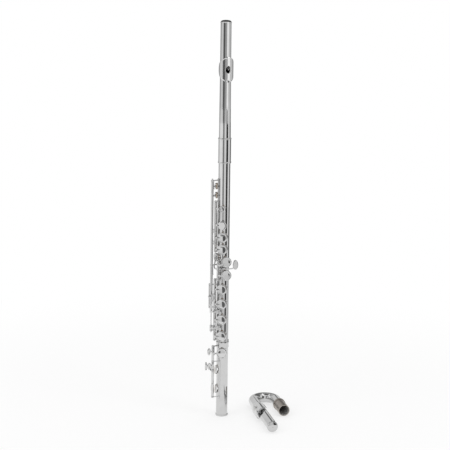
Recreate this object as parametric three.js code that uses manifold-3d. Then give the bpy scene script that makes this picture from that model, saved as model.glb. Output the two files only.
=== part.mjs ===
// A closed-hole concert flute standing on its foot, with its straight head joint in the barrel
// and a spare curved head joint lying beside it. Millimetres, +Z up along the tube,
// the keys face -Y and the rods run on the -X side.
import * as THREE from 'three';
import { mergeVertices } from 'three/addons/utils/BufferGeometryUtils.js';
import Module from 'manifold-3d';

const wasm = await Module();
wasm.setup();

// Tube
const tubeRadius = 9.9;
const wall = 0.45;
const slip = 0.25; // between a tenon and its socket, and between soldered pieces
const lowestHoleHeight = 47; // foot end to the C tone hole
const lowestHoleReach = 553; // C tone hole to the embouchure hole
const endCorrection = 63.4;
const semitone = 2 ** (-1 / 12);
const footTenonLength = 10;
const socketWall = 0.7;
const endRingHeight = 2.6;
const endRingRadius = 10.9;
const footSocketDepth = 10.6;
const socketRise = 3.35; // socket top above the middle between the D sharp and D holes
const barrelRise = 29.5; // top trill post to the barrel's lower end
const barrelLength = 42.5;
const barrelRadius = 10.65;
const barrelRingRadius = 11.25;
const barrelRingHeight = 2.4;
const bodyInBarrel = 6;
const headDraw = 5.5; // the head is drawn out this far to tune
const overrun = 2; // every cut runs past its piece by this much

// Tone holes and cups
const holeRadius = 6.9;
const footHoleRadius = 7.2;
const smallHoleRadius = 3.2;
const chimneyWall = 0.6;
const chimneyHeight = 1.7;
const padGap = 0.3; // a closed pad stays this far off its rim
const padHeight = 2.3;
const padProud = 0.9;
const padPlay = 0.25;
const cupWall = 0.5;
const cupTop = 0.6;
const cupRim = 0.45;
const cupRadius = 8.8;
const sideCupRadius = 7.5;
const smallCupRadius = 5.6;
const keyLift = 2.6;
const footLiftShare = 0.85;
const cupShoulderShare = 0.86;
const cupCrestShare = 0.7;
const offsetTurn = 26; // turns are degrees round the tube from the front
const gSharpTurn = -60;
const trillTurn = -105;
const footTurn = -85;

// Rods, posts and hinge tubes
const steelRadius = 1.05;
const running = 0.3;
const hingeRadius = 1.95;
const postRadius = 1;
const ballRadius = 2.15;
const ballHeight = 3.4;
const ballHalf = ballHeight / 2;
const endPlay = 0.35;
const ribThickness = 0.9;
const ribClear = 0.3;
const postFootShare = 0.6;
const ribTurn = -68;
const ribSpread = 13;
const outerPostTurn = -80; // the outer posts start behind the main rod
const offsetRibTurn = -34;
const offsetRibSpread = 7;
const thumbRibTurn = -127;
const footRibTurn = -24;
const footRibSpread = 7;
const footTopPostTurn = -45;
const mainRodX = -13.5;
const mainRodY = -8;
const trillRodX = -19.5;
const trillRodY = -8;
const sideRodX = -22.3;
const sideRodY = -2.5;
const offsetRodX = -8;
const offsetRodY = -14;
const thumbRodX = -12.5;
const thumbRodY = 9.5;
const footRodX = -15.5;
const footRodY = -13;

// How far posts, small holes and touches stand from the tone holes
const lowPostDrop = 7.87;
const rightTopPostRise = 15.6;
const leftLowPostDrop = 4.7;
const leftTopPostRise = 11;
const offsetLowPostDrop = 7.5;
const offsetTopPostDrop = 1.1;
const sideLowPostDrop = 8.7;
const sideTopPostRise = 5.4;
const trillLowPostRise = 8.4;
const trillMidPostRise = 4.4;
const trillTopPostRise = 10.9;
const thumbLowPostDrop = 33.9;
const thumbTopPostRise = 15.1;
const footLowPostDrop = 11;
const footMidPostRise = 17.9;
const footTopPostRise = 12.2;
const gSharpHoleRise = 6.9;
const cSharpHoleRise = 30;
const dTrillHoleRise = 50;
const trillHoleSpacing = 15.6;

// Arms, levers and touches
const armWidth = 3.2;
const armThickness = 1.3;
const armRiseShares = [0.25, 0.55];
const tipShare = 0.18;
const leverWidth = 2.4;
const leverThickness = 1.4;
const touchThickness = 1.7;
const touchRadius = 7.6;
const gSharpTouchX = 21.5;
const gSharpTouchWidth = 4.6;
const gSharpTouchLength = 8.6;
const gSharpLeverShare = 0.85;
const thumbTouchReach = 14;
const thumbTouchHalf = 5;
const thumbTouchShare = 0.25;
const thumbBendShare = 0.75;
const trillTouchReach = 5.5;
const trillTouchRadius = 3.7;
const footTouchTube = 12;
const footTouchReach = 6.2;
const footTouchWidth = 3.1;
const footTouchLength = 6.4;
const rollerRadius = 1.9;
const rollerLength = 10;
const rollerPin = 0.7;
const rollerArmShare = 0.9;

// Head joints
const crownBoreRadius = 8.6;
const headWall = 0.45;
const headTaper = 0.35;
const crownEndReach = 76; // embouchure hole to the crown end of the tube
const crownRadius = 9.45;
const crownRimHeight = 2.2;
const crownDome = 2.6;
const crownPlug = 6;
const domeShares = [[1, 0], [0.86, 0.5], [0.5, 0.88], [0, 1]];
const stopperReach = 17;
const stopperPlate = 1.2;
const corkLength = 15;
const threadRadius = 1.7;
const embouchureLong = 6.1;
const embouchureWide = 5.2;
const lipThickness = 1.2;
const lipLength = 42;
const lipRadius = 11.1;
const lipOffset = 2;
const lipWidth = 28;
const lipTurn = 25;
const lipSpread = 112;

// Curved head joint, lying on the same surface
const bendRadius = 20;
const bendLap = 1; // the straight legs run on into the bend by this much
const curvedLipLeg = 134;
const curvedTenonLeg = 57;
const sleeveLength = 34;
const collarRadius = 10.9;
const collarLength = 5;
const curvedHeading = 16; // degrees from straight towards the front
const curvedRoll = 35; // degrees the embouchure hole stands above the table
const curvedX = 73.5;
const curvedY = 50;

// Facets
const tubeSides = 20;
const cupSides = 10;
const chimneySides = 8;
const rodSides = 8;
const knobSides = 6;
const stemSides = 4;
const lipSides = 20;
const lipArcSteps = 6;
const ribArcSteps = 3;
const armCurveSteps = 2;
const leverSteps = 3;
const bendSteps = 10;
const bendSides = 14;

// Places along the tube
const embouchureHeight = lowestHoleHeight + lowestHoleReach;
const places = {
  c: holeHeight(0),
  cSharp: holeHeight(1),
  dSharp: holeHeight(2),
  d: holeHeight(3),
  e: holeHeight(4),
  f: holeHeight(5),
  fSharp: holeHeight(6),
  gLower: holeHeight(7),
  gUpper: holeHeight(8),
  a: holeHeight(9),
  bFlat: holeHeight(10),
  thumb: holeHeight(11),
};
const footSocketTop = (places.dSharp + places.d) / 2 + socketRise;
const gSharpHoleHeight = places.gUpper + gSharpHoleRise;
const cSharpHoleHeight = places.thumb + cSharpHoleRise;
const dTrillHoleHeight = places.thumb + dTrillHoleRise;
const dSharpTrillHoleHeight = dTrillHoleHeight + trillHoleSpacing;
const dTrillTouchHeight = (places.e + places.f) / 2;
const dSharpTrillTouchHeight = (places.d + places.e) / 2;
const lowPost = places.d - lowPostDrop;
const midPost = (places.e + places.f) / 2;
const rightTopPost = places.fSharp + rightTopPostRise;
const leftLowPost = places.a - leftLowPostDrop;
const leftTopPost = cSharpHoleHeight + leftTopPostRise;
const offsetLowPost = places.gLower - offsetLowPostDrop;
const offsetTopPost = places.gUpper - offsetTopPostDrop;
const sideLowPost = places.f - sideLowPostDrop;
const sideTopPost = places.fSharp + sideTopPostRise;
const trillLowPost = places.d + trillLowPostRise;
const trillMidPost = (places.gLower + places.gUpper) / 2 + trillMidPostRise;
const trillTopPost = dSharpTrillHoleHeight + trillTopPostRise;
const barrelBottom = trillTopPost + barrelRise;
const thumbLowPost = places.thumb - thumbLowPostDrop;
const thumbTopPost = places.thumb + thumbTopPostRise;
const footLowPost = places.c - footLowPostDrop;
const footMidPost = places.cSharp + footMidPostRise;
const footTopPost = places.dSharp + footTopPostRise;
const cTouchHeight = footMidPost - ballHalf - footTouchTube / 2;
const rimHeight = tubeRadius + chimneyHeight;
const ceilingHeight = rimHeight + padGap + padHeight + padPlay;
const topHeight = ceilingHeight + cupTop;

// Hinge tubes stand between the posts; where two keys share one steel they meet halfway.
const stackMeets = [
  lowPost + ballHalf,
  (places.d + places.e) / 2,
  midPost - ballHalf,
  midPost + ballHalf,
  (places.f + places.fSharp) / 2,
  rightTopPost - ballHalf,
];

const silver = { color: 0xc9cac8, metalness: 1, roughness: 0.22 };
const satin = { color: 0xa79f94, metalness: 1, roughness: 0.42 };
const felt = { color: 0xcdb296, metalness: 0, roughness: 0.95 };
const corkLook = { color: 0xb98f5f, metalness: 0, roughness: 0.9 };

const rods = {
  main: new THREE.Vector2(mainRodX, mainRodY),
  trill: new THREE.Vector2(trillRodX, trillRodY),
  side: new THREE.Vector2(sideRodX, sideRodY),
  offset: new THREE.Vector2(offsetRodX, offsetRodY),
  thumb: new THREE.Vector2(thumbRodX, thumbRodY),
  foot: new THREE.Vector2(footRodX, footRodY),
};

const flute = new THREE.Group();
const rad = THREE.MathUtils.degToRad;

// Height of the tone hole that stands a number of semitones above the lowest one.
function holeHeight(steps) {
  return embouchureHeight + endCorrection - (lowestHoleReach + endCorrection) * semitone ** steps;
}

// A closed three.js geometry as a solid that can be cut and joined.
function solid(geometry) {
  const bare = geometry.clone();
  for (const name of Object.keys(bare.attributes)) {
    if (name !== 'position') bare.deleteAttribute(name);
  }
  const merged = mergeVertices(bare);
  const index = merged.index.array;
  const faces = [];
  for (let i = 0; i < index.length; i += 3) {
    const [a, b, c] = [index[i], index[i + 1], index[i + 2]];
    if (a !== b && b !== c && c !== a) faces.push([a, b, c]);
  }
  const position = merged.attributes.position;
  const corner = (i) => new THREE.Vector3().fromBufferAttribute(position, i);
  let volume = 0;
  for (const [a, b, c] of faces) volume += corner(a).dot(corner(b).cross(corner(c)));
  const outward = volume < 0 ? faces.map(([a, b, c]) => [a, c, b]) : faces;
  return new wasm.Manifold(new wasm.Mesh({
    numProp: 3,
    vertProperties: new Float32Array(position.array),
    triVerts: new Uint32Array(outward.flat()),
  }));
}

function geometryOf(body) {
  const mesh = body.getMesh();
  const geometry = new THREE.BufferGeometry();
  const position = new THREE.BufferAttribute(new Float32Array(mesh.vertProperties), 3);
  geometry.setAttribute('position', position);
  geometry.setIndex(new THREE.BufferAttribute(new Uint32Array(mesh.triVerts), 1));
  const flat = geometry.toNonIndexed();
  flat.computeVertexNormals();
  return flat;
}

function addPart(parent, name, body, look) {
  const mesh = new THREE.Mesh(geometryOf(body), new THREE.MeshStandardMaterial(look));
  mesh.name = name;
  parent.add(mesh);
  return mesh;
}

// A profile of (radius, height) pairs turned about the Z axis.
function revolve(profile, sides) {
  const points = profile.map(([r, h]) => new THREE.Vector2(r, h));
  if (profile[0][0] > 0) points.push(points[0].clone());
  return new THREE.LatheGeometry(points, sides).rotateX(Math.PI / 2);
}

function pipe(outer, inner, bottom, top, sides = tubeSides) {
  return solid(revolve([[inner, bottom], [outer, bottom], [outer, top], [inner, top]], sides));
}

function rod(radius, bottom, top, sides = tubeSides) {
  return solid(revolve([[0, bottom], [radius, bottom], [radius, top], [0, top]], sides));
}

function shapeOf(points) {
  return new THREE.Shape(points.map(([x, y]) => new THREE.Vector2(x, y)));
}

function slab(shape, depth, curveSegments = 6) {
  return new THREE.ExtrudeGeometry(shape, { depth, bevelEnabled: false, curveSegments });
}

// The frame on the tube wall: X round the tube, Y along it, Z out of it.
function wallFrame(turn, height) {
  const a = rad(turn);
  const across = new THREE.Vector3(Math.cos(a), Math.sin(a), 0);
  const out = new THREE.Vector3(Math.sin(a), -Math.cos(a), 0);
  const frame = new THREE.Matrix4().makeBasis(across, new THREE.Vector3(0, 0, 1), out);
  return frame.setPosition(0, 0, height);
}

function onWall(geometry, turn, height) {
  return solid(geometry.applyMatrix4(wallFrame(turn, height)));
}

// Chimneys are drawn up out of the tube, then every hole is cut through it.
function drilled(tube, bore, holes) {
  const rim = tubeRadius + chimneyHeight;
  let body = tube;
  for (const { turn, height, radius } of holes) {
    const outer = radius + chimneyWall;
    const chimney = revolve([[0, bore], [outer, bore], [outer, rim], [0, rim]], chimneySides);
    body = body.add(onWall(chimney, turn, height));
  }
  body = body.subtract(rod(bore, -overrun, embouchureHeight));
  for (const { turn, height, radius } of holes) {
    const top = rim + overrun;
    const cutter = revolve([[0, overrun], [radius, overrun], [radius, top], [0, top]], chimneySides);
    body = body.subtract(onWall(cutter, turn, height));
  }
  return body;
}

// Keys. Each is drawn closed, in place, then hung on its rod and swung open where it rests open.

function cup(radius) {
  const skirt = rimHeight + padGap + padProud;
  return revolve([
    [0, ceilingHeight],
    [radius - cupWall, ceilingHeight],
    [radius - cupWall, skirt],
    [radius, skirt],
    [radius, topHeight - cupWall],
    [radius * cupShoulderShare, topHeight + cupRim],
    [radius * cupCrestShare, topHeight + cupRim],
    [0, topHeight],
  ], cupSides);
}

function pad(radius) {
  const seat = rimHeight + padGap;
  const outer = radius - cupWall - padPlay;
  return revolve([
    [0, seat],
    [outer, seat],
    [outer, seat + padHeight],
    [0, seat + padHeight],
  ], cupSides);
}

// Where a rod lies in the frame of a wall position: round the tube, and out of it.
function rodAt(line, turn) {
  const a = rad(turn);
  return [line.x * Math.cos(a) + line.y * Math.sin(a), line.x * Math.sin(a) - line.y * Math.cos(a)];
}

// The pointed arm: out of the hinge tube, up beside the cup and to a point on its top.
// slant shears it along the tube, for a hinge tube that isn't level with its cup.
function arm(radius, line, turn, slant = 0) {
  const [rodT, rodH] = rodAt(line, turn);
  const side = Math.sign(rodT);
  const edge = side * radius;
  const over = topHeight + cupRim + armThickness / 2;
  const under = ceilingHeight + cupTop / 2;
  const [outerShare, innerShare] = armRiseShares;
  const reach = new THREE.Vector2(edge - rodT, over - rodH).setLength(steelRadius);
  const shape = new THREE.Shape();
  shape.moveTo(rodT + side * Math.abs(reach.y), rodH + Math.abs(reach.x));
  shape.quadraticCurveTo(rodT + outerShare * (edge - rodT), over, edge, over);
  shape.lineTo(edge * tipShare, topHeight + armThickness / 2);
  shape.lineTo(edge * tipShare, under);
  shape.lineTo(edge, under);
  shape.quadraticCurveTo(
    rodT + innerShare * (edge - rodT), under,
    rodT - side * Math.abs(reach.y), rodH - Math.abs(reach.x));
  const bar = slab(shape, armWidth, armCurveSteps).translate(0, 0, -armWidth / 2).rotateX(Math.PI / 2);
  const shear = new THREE.Matrix4().set(1, 0, 0, 0, slant / rodT, 1, 0, 0, 0, 0, 1, 0, 0, 0, 0, 1);
  const plan = shapeOf([
    [rodT + side * hingeRadius, -armWidth / 2],
    [rodT + side * hingeRadius, armWidth / 2],
    [edge, armWidth / 2],
    [edge * tipShare, 0],
    [edge, -armWidth / 2],
  ]);
  const outline = slab(plan, 2 * topHeight);
  return solid(bar).intersect(solid(outline)).transform(shear.toArray());
}

// A bent bar of flat section along a smooth curve through world points.
function lever(points, width = leverWidth, thickness = leverThickness) {
  const path = new THREE.CatmullRomCurve3(points.map(([x, y, z]) => new THREE.Vector3(x, y, z)));
  const [w, t] = [width / 2, thickness / 2];
  const section = shapeOf([[-w, -t], [w, -t], [w, t], [-w, t]]);
  return solid(new THREE.ExtrudeGeometry(section, { steps: leverSteps, extrudePath: path }));
}

// A domed finger plate of oval outline facing the front.
function touchPlate(x, y, z, halfWidth, halfLength, turn = 0) {
  const plate = revolve([
    [0, -touchThickness / 2],
    [cupShoulderShare, -touchThickness / 2],
    [1, 0],
    [cupShoulderShare, touchThickness / 2],
    [0, touchThickness / 2],
  ], cupSides).scale(halfWidth, halfLength, 1);
  const out = new THREE.Matrix4().makeBasis(
    new THREE.Vector3(1, 0, 0), new THREE.Vector3(0, 0, 1), new THREE.Vector3(0, -1, 0));
  plate.applyMatrix4(out).rotateZ(rad(turn)).translate(x, y, z);
  return solid(plate);
}

function hingeTube(line, from, to, radius = hingeRadius) {
  return rod(radius, from + endPlay / 2, to - endPlay / 2, rodSides).translate(line.x, line.y, 0);
}

function boreFor(line, radius) {
  return rod(radius, 0, embouchureHeight, rodSides).translate(line.x, line.y, 0);
}

// Hangs closed-pose solids on a rod: the group turns about it, so that open = 0 is closed.
function hang(line, open) {
  const pivot = new THREE.Group();
  pivot.position.set(line.x, line.y, 0);
  pivot.rotation.z = open;
  flute.add(pivot);
  return pivot;
}

function openAngle(line, turn, lift) {
  const [rodT] = rodAt(line, turn);
  return Math.sign(rodT) * Math.asin(lift / Math.abs(rodT));
}

function addKey(spec) {
  const { name, line, turn, height, from, to, radius = cupRadius, slant = 0 } = spec;
  const { lift = 0, extras = [], bore = steelRadius + running, plainArm = true, tube = hingeRadius } = spec;
  let body = hingeTube(line, from, to, tube).add(onWall(cup(radius), turn, height));
  if (plainArm) {
    body = body.add(arm(radius, line, turn, slant).transform(wallFrame(turn, height).toArray()));
  }
  for (const extra of extras) body = body.add(extra);
  if (bore > 0) body = body.subtract(boreFor(line, bore));
  const pivot = hang(line, openAngle(line, turn, lift));
  const back = [-line.x, -line.y, 0];
  addPart(pivot, name, body.translate(back), silver);
  const cushion = onWall(pad(radius), turn, height).translate(back);
  addPart(pivot, `${name.replace('_key', '')}_pad`, cushion, felt);
}

// The rib is a strap along the tube wall; each post leans out to its rod and ends in a pierced ball.

function ribStrap(bottom, top, turn = ribTurn, spread = ribSpread) {
  const inner = tubeRadius + ribClear;
  const outer = inner + ribThickness;
  const shape = new THREE.Shape();
  const start = rad(turn - spread - 90);
  const end = rad(turn + spread - 90);
  shape.absarc(0, 0, outer, start, end, false);
  shape.absarc(0, 0, inner, end, start, true);
  return solid(slab(shape, top - bottom, ribArcSteps)).translate(0, 0, bottom);
}

function post(line, height, turn = ribTurn, bore = steelRadius + running, ball = ballRadius) {
  const a = rad(turn);
  const reach = tubeRadius + ribClear + ribThickness * postFootShare;
  const foot = new THREE.Vector3(Math.sin(a), -Math.cos(a), 0).multiplyScalar(reach);
  const head = new THREE.Vector3(line.x, line.y, 0);
  const span = head.clone().sub(foot);
  const stem = new THREE.CylinderGeometry(postRadius, postRadius, span.length(), stemSides);
  const upright = new THREE.Vector3(0, 1, 0);
  const lean = new THREE.Quaternion().setFromUnitVectors(upright, span.clone().normalize());
  stem.translate(0, span.length() / 2, 0);
  stem.applyQuaternion(lean);
  stem.translate(foot.x, foot.y, height);
  const knob = revolve([
    [0, -ballHeight / 2],
    [ball * cupCrestShare, -ballHeight / 2],
    [ball, 0],
    [ball * cupCrestShare, ballHeight / 2],
    [0, ballHeight / 2],
  ], knobSides);
  knob.translate(line.x, line.y, height);
  const hole = rod(bore, height - ballHeight, height + ballHeight, knobSides).translate(line.x, line.y, 0);
  return solid(stem).add(solid(knob)).subtract(hole);
}

function rib(name, bottom, top, posts, turn = ribTurn, spread = ribSpread) {
  let body = ribStrap(bottom, top, turn, spread);
  for (const [line, height, lean = turn, bore, ball] of posts) {
    body = body.add(post(line, height, lean, bore, ball));
  }
  addPart(flute, name, body, silver);
}

function addSteel(name, line, bottom, top, parent = flute, shift = [0, 0, 0]) {
  const reach = ballHeight / 2 + endPlay;
  const body = rod(steelRadius, bottom - reach, top + reach, rodSides).translate(line.x, line.y, 0);
  addPart(parent, name, body.translate(shift), silver);
}

// Body: the tube with its chimneys and the ring above the tenon, and the barrel.
function buildBody() {
  const bore = tubeRadius - wall;
  const top = barrelBottom + bodyInBarrel;
  const ringBottom = footSocketTop + endPlay;
  const tube = solid(revolve([
    [0, footSocketTop - footTenonLength],
    [tubeRadius, footSocketTop - footTenonLength],
    [tubeRadius, ringBottom],
    [endRingRadius, ringBottom],
    [endRingRadius, ringBottom + endRingHeight / 2],
    [tubeRadius, ringBottom + endRingHeight],
    [tubeRadius, top],
    [0, top],
  ], tubeSides));
  const front = [places.d, places.e, places.f, places.fSharp, places.a, places.bFlat];
  const holes = front.map((height) => ({ turn: 0, height, radius: holeRadius }));
  holes.push({ turn: offsetTurn, height: places.gLower, radius: holeRadius });
  holes.push({ turn: offsetTurn, height: places.gUpper, radius: holeRadius });
  holes.push({ turn: gSharpTurn, height: gSharpHoleHeight, radius: holeRadius - cupRadius + sideCupRadius });
  holes.push({ turn: 180, height: places.thumb, radius: holeRadius });
  holes.push({ turn: 0, height: cSharpHoleHeight, radius: smallHoleRadius });
  holes.push({ turn: trillTurn, height: dTrillHoleHeight, radius: smallHoleRadius });
  holes.push({ turn: trillTurn, height: dSharpTrillHoleHeight, radius: smallHoleRadius });
  addPart(flute, 'body_tube', drilled(tube, bore, holes), silver);

  const inner = tubeRadius + slip;
  const barrelTop = barrelBottom + barrelLength;
  addPart(flute, 'barrel', solid(revolve([
    [inner, barrelBottom],
    [barrelRingRadius, barrelBottom],
    [barrelRingRadius, barrelBottom + barrelRingHeight],
    [barrelRadius, barrelBottom + barrelRingHeight],
    [barrelRadius, barrelTop - barrelRingHeight],
    [barrelRingRadius, barrelTop - barrelRingHeight],
    [barrelRingRadius, barrelTop],
    [inner, barrelTop],
  ], tubeSides)), silver);
}

function buildRibs() {
  const over = ballHeight;
  const saddle = hingeRadius + running * 2;
  const wide = saddle + wall;
  rib('lower_rib', lowPost - over / 2, gSharpHoleHeight - sideCupRadius - over, [
    [rods.main, lowPost],
    [rods.main, midPost],
    [rods.main, rightTopPost],
    [rods.trill, trillLowPost, outerPostTurn],
    [rods.trill, trillMidPost, outerPostTurn, saddle, wide],
    [rods.side, sideLowPost, outerPostTurn],
    [rods.side, sideTopPost, outerPostTurn],
  ]);
  rib('upper_rib', leftLowPost - over / 2, trillTopPost + over, [
    [rods.main, leftLowPost],
    [rods.main, leftTopPost],
    [rods.trill, trillTopPost, outerPostTurn],
  ]);
  rib('offset_rib', offsetLowPost - over, offsetTopPost + over / 2, [
    [rods.offset, offsetLowPost],
    [rods.offset, offsetTopPost],
  ], offsetRibTurn, offsetRibSpread);
  rib('thumb_rib', thumbLowPost - over, thumbTopPost + over, [
    [rods.thumb, thumbLowPost],
    [rods.thumb, thumbTopPost],
  ], thumbRibTurn, ribSpread);
  addSteel('right_hand_steel', rods.main, lowPost, rightTopPost);
  addSteel('left_hand_steel', rods.main, leftLowPost, leftTopPost);
  addSteel('side_lever_steel', rods.side, sideLowPost, sideTopPost);
}

function buildRightHand() {
  const [low, dTop, eTop, fLow, fTop, top] = stackMeets;
  const front = { line: rods.main, turn: 0, lift: keyLift };
  addKey({ ...front, name: 'd_key', height: places.d, from: low, to: dTop });
  addKey({ ...front, name: 'e_key', height: places.e, from: dTop, to: eTop });
  addKey({ ...front, name: 'f_key', height: places.f, from: fLow, to: fTop });
  addKey({ ...front, name: 'f_sharp_key', height: places.fSharp, from: fTop, to: top });

  const height = (sideLowPost + sideTopPost) / 2;
  const line = rods.side;
  const over = topHeight + armThickness;
  const touchX = mainRodX - hingeRadius;
  const bar = lever([
    [line.x, line.y - steelRadius, height],
    [line.x - hingeRadius, line.y - hingeRadius * 3, height],
    [trillRodX - hingeRadius / 2, -over + armThickness, height],
    [touchX, -over, height],
  ]);
  const body = hingeTube(line, sideLowPost + ballHalf, sideTopPost - ballHalf)
    .add(bar)
    .add(touchPlate(touchX, -over, height, touchRadius / 2, touchRadius))
    .subtract(boreFor(line, steelRadius + running));
  addPart(hang(line, 0), 'b_flat_side_lever', body.translate([-line.x, -line.y, 0]), silver);
}

function buildOffsetKeys() {
  const line = rods.offset;
  const low = offsetLowPost + ballHalf;
  const top = offsetTopPost - ballHalf;
  const leverHeight = (places.gLower + places.gUpper) / 2;
  const gSharpLow = leverHeight - armWidth;
  const gSharpTop = leverHeight + armWidth;
  const offset = { line, turn: offsetTurn, lift: keyLift };
  addKey({ ...offset, name: 'g_lower_key', height: places.gLower, from: low, to: gSharpLow });
  addKey({
    ...offset,
    name: 'g_upper_key',
    height: places.gUpper,
    from: gSharpTop,
    to: top,
    slant: (gSharpTop + top) / 2 - places.gUpper,
  });
  const pivot = hang(line, openAngle(line, offsetTurn, keyLift));
  addSteel('g_rod', line, offsetLowPost, offsetTopPost, pivot, [-line.x, -line.y, 0]);

  const cupTopPoint = new THREE.Vector3(0, 0, topHeight + armThickness / 2)
    .applyMatrix4(wallFrame(gSharpTurn, gSharpHoleHeight));
  const besideRod = new THREE.Vector3(0, 0, topHeight + 2 * armThickness)
    .applyMatrix4(wallFrame(gSharpTurn, gSharpLow + armWidth));
  const armPath = [
    [line.x, line.y, gSharpLow + armWidth / 2],
    [besideRod.x, besideRod.y, besideRod.z],
    [cupTopPoint.x, cupTopPoint.y, gSharpHoleHeight - sideCupRadius],
    [cupTopPoint.x, cupTopPoint.y, gSharpHoleHeight],
  ];
  const leverY = -rimHeight - padHeight;
  const touchHeight = leverHeight + gSharpTouchLength - armWidth / 2;
  addKey({
    name: 'g_sharp_key',
    line,
    turn: gSharpTurn,
    height: gSharpHoleHeight,
    radius: sideCupRadius,
    from: gSharpLow,
    to: gSharpTop,
    plainArm: false,
    extras: [
      lever(armPath),
      lever([
        [line.x, line.y, leverHeight],
        [0, leverY - armThickness, leverHeight],
        [gSharpTouchX / 2, leverY, leverHeight],
        [gSharpTouchX, leverY + armThickness, leverHeight + armWidth / 2],
      ], leverWidth * gSharpLeverShare),
      touchPlate(gSharpTouchX, leverY + armThickness, touchHeight, gSharpTouchWidth, gSharpTouchLength),
    ],
  });
}

function buildLeftHand() {
  const front = { line: rods.main, turn: 0, lift: keyLift };
  const low = leftLowPost + ballHalf;
  const aTop = (places.a + places.bFlat) / 2;
  const bTop = (places.bFlat + places.thumb) / 2;
  const top = leftTopPost - ballHalf;
  addKey({ ...front, name: 'a_key', height: places.a, from: low, to: aTop });
  addKey({ ...front, name: 'b_flat_key', height: places.bFlat, from: aTop, to: bTop });
  const plateY = -topHeight + touchThickness / 2;
  addKey({
    ...front,
    name: 'c_sharp_key',
    height: cSharpHoleHeight,
    radius: smallCupRadius,
    from: bTop,
    to: top,
    extras: [
      touchPlate(0, plateY, places.thumb + touchThickness, touchRadius, touchRadius),
      lever([
        [mainRodX, mainRodY - steelRadius, places.thumb + touchThickness],
        [(mainRodX - touchRadius) / 2, plateY, places.thumb + touchThickness],
        [-touchRadius / 2, plateY, places.thumb + touchThickness],
      ], armWidth),
    ],
  });
}

function buildThumbKeys() {
  const line = rods.thumb;
  const touchY = rimHeight + padHeight;
  const meet = thumbLowPost + thumbTouchReach;
  const touchX = line.x * thumbTouchShare;
  const thumbTouch = (height) => [
    touchPlate(touchX, touchY, height, touchRadius, thumbTouchHalf, 180),
    lever([
      [line.x, line.y + steelRadius, height],
      [line.x * thumbBendShare, touchY, height],
      [touchX, touchY, height],
    ], armWidth),
  ];
  addKey({
    name: 'thumb_b_key',
    line,
    turn: 180,
    height: places.thumb,
    from: meet,
    to: thumbTopPost - ballHalf,
    lift: keyLift,
    extras: thumbTouch(meet + thumbTouchHalf + endPlay),
  });
  let flatLever = rod(steelRadius, thumbLowPost - ballHeight, thumbTopPost + ballHeight, rodSides)
    .translate(line.x, line.y, 0)
    .add(hingeTube(line, thumbLowPost + ballHalf, meet));
  for (const piece of thumbTouch(meet - thumbTouchHalf - endPlay)) flatLever = flatLever.add(piece);
  const pivot = hang(line, openAngle(line, 180, keyLift));
  addPart(pivot, 'thumb_b_flat_lever', flatLever.translate([-line.x, -line.y, 0]), silver);
}

function trillTouch(height) {
  const touchX = mainRodX + trillTouchReach;
  const over = -topHeight + padProud;
  return [
    lever([
      [trillRodX, trillRodY - steelRadius, height],
      [(trillRodX + mainRodX) / 2, over, height],
      [touchX, over, height],
    ]),
    touchPlate(touchX, over, height, trillTouchRadius, trillTouchRadius),
  ];
}

function buildTrills() {
  const line = rods.trill;
  const side = { line, turn: trillTurn, radius: smallCupRadius };
  const meet = (dTrillHoleHeight + dSharpTrillHoleHeight) / 2;
  addKey({
    ...side,
    name: 'd_trill_key',
    height: dTrillHoleHeight,
    from: dTrillTouchHeight - armWidth,
    to: meet,
    extras: trillTouch(dTrillTouchHeight),
  });
  addKey({
    ...side,
    name: 'd_sharp_trill_key',
    height: dSharpTrillHoleHeight,
    from: meet,
    to: trillTopPost - ballHalf,
    bore: 0,
    extras: [
      ...trillTouch(dSharpTrillTouchHeight),
      hingeTube(line, trillLowPost + ballHalf, dSharpTrillTouchHeight + armWidth),
      rod(steelRadius, trillLowPost - ballHeight, trillTopPost + ballHeight, rodSides)
        .translate(line.x, line.y, 0),
    ],
  });
}

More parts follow.
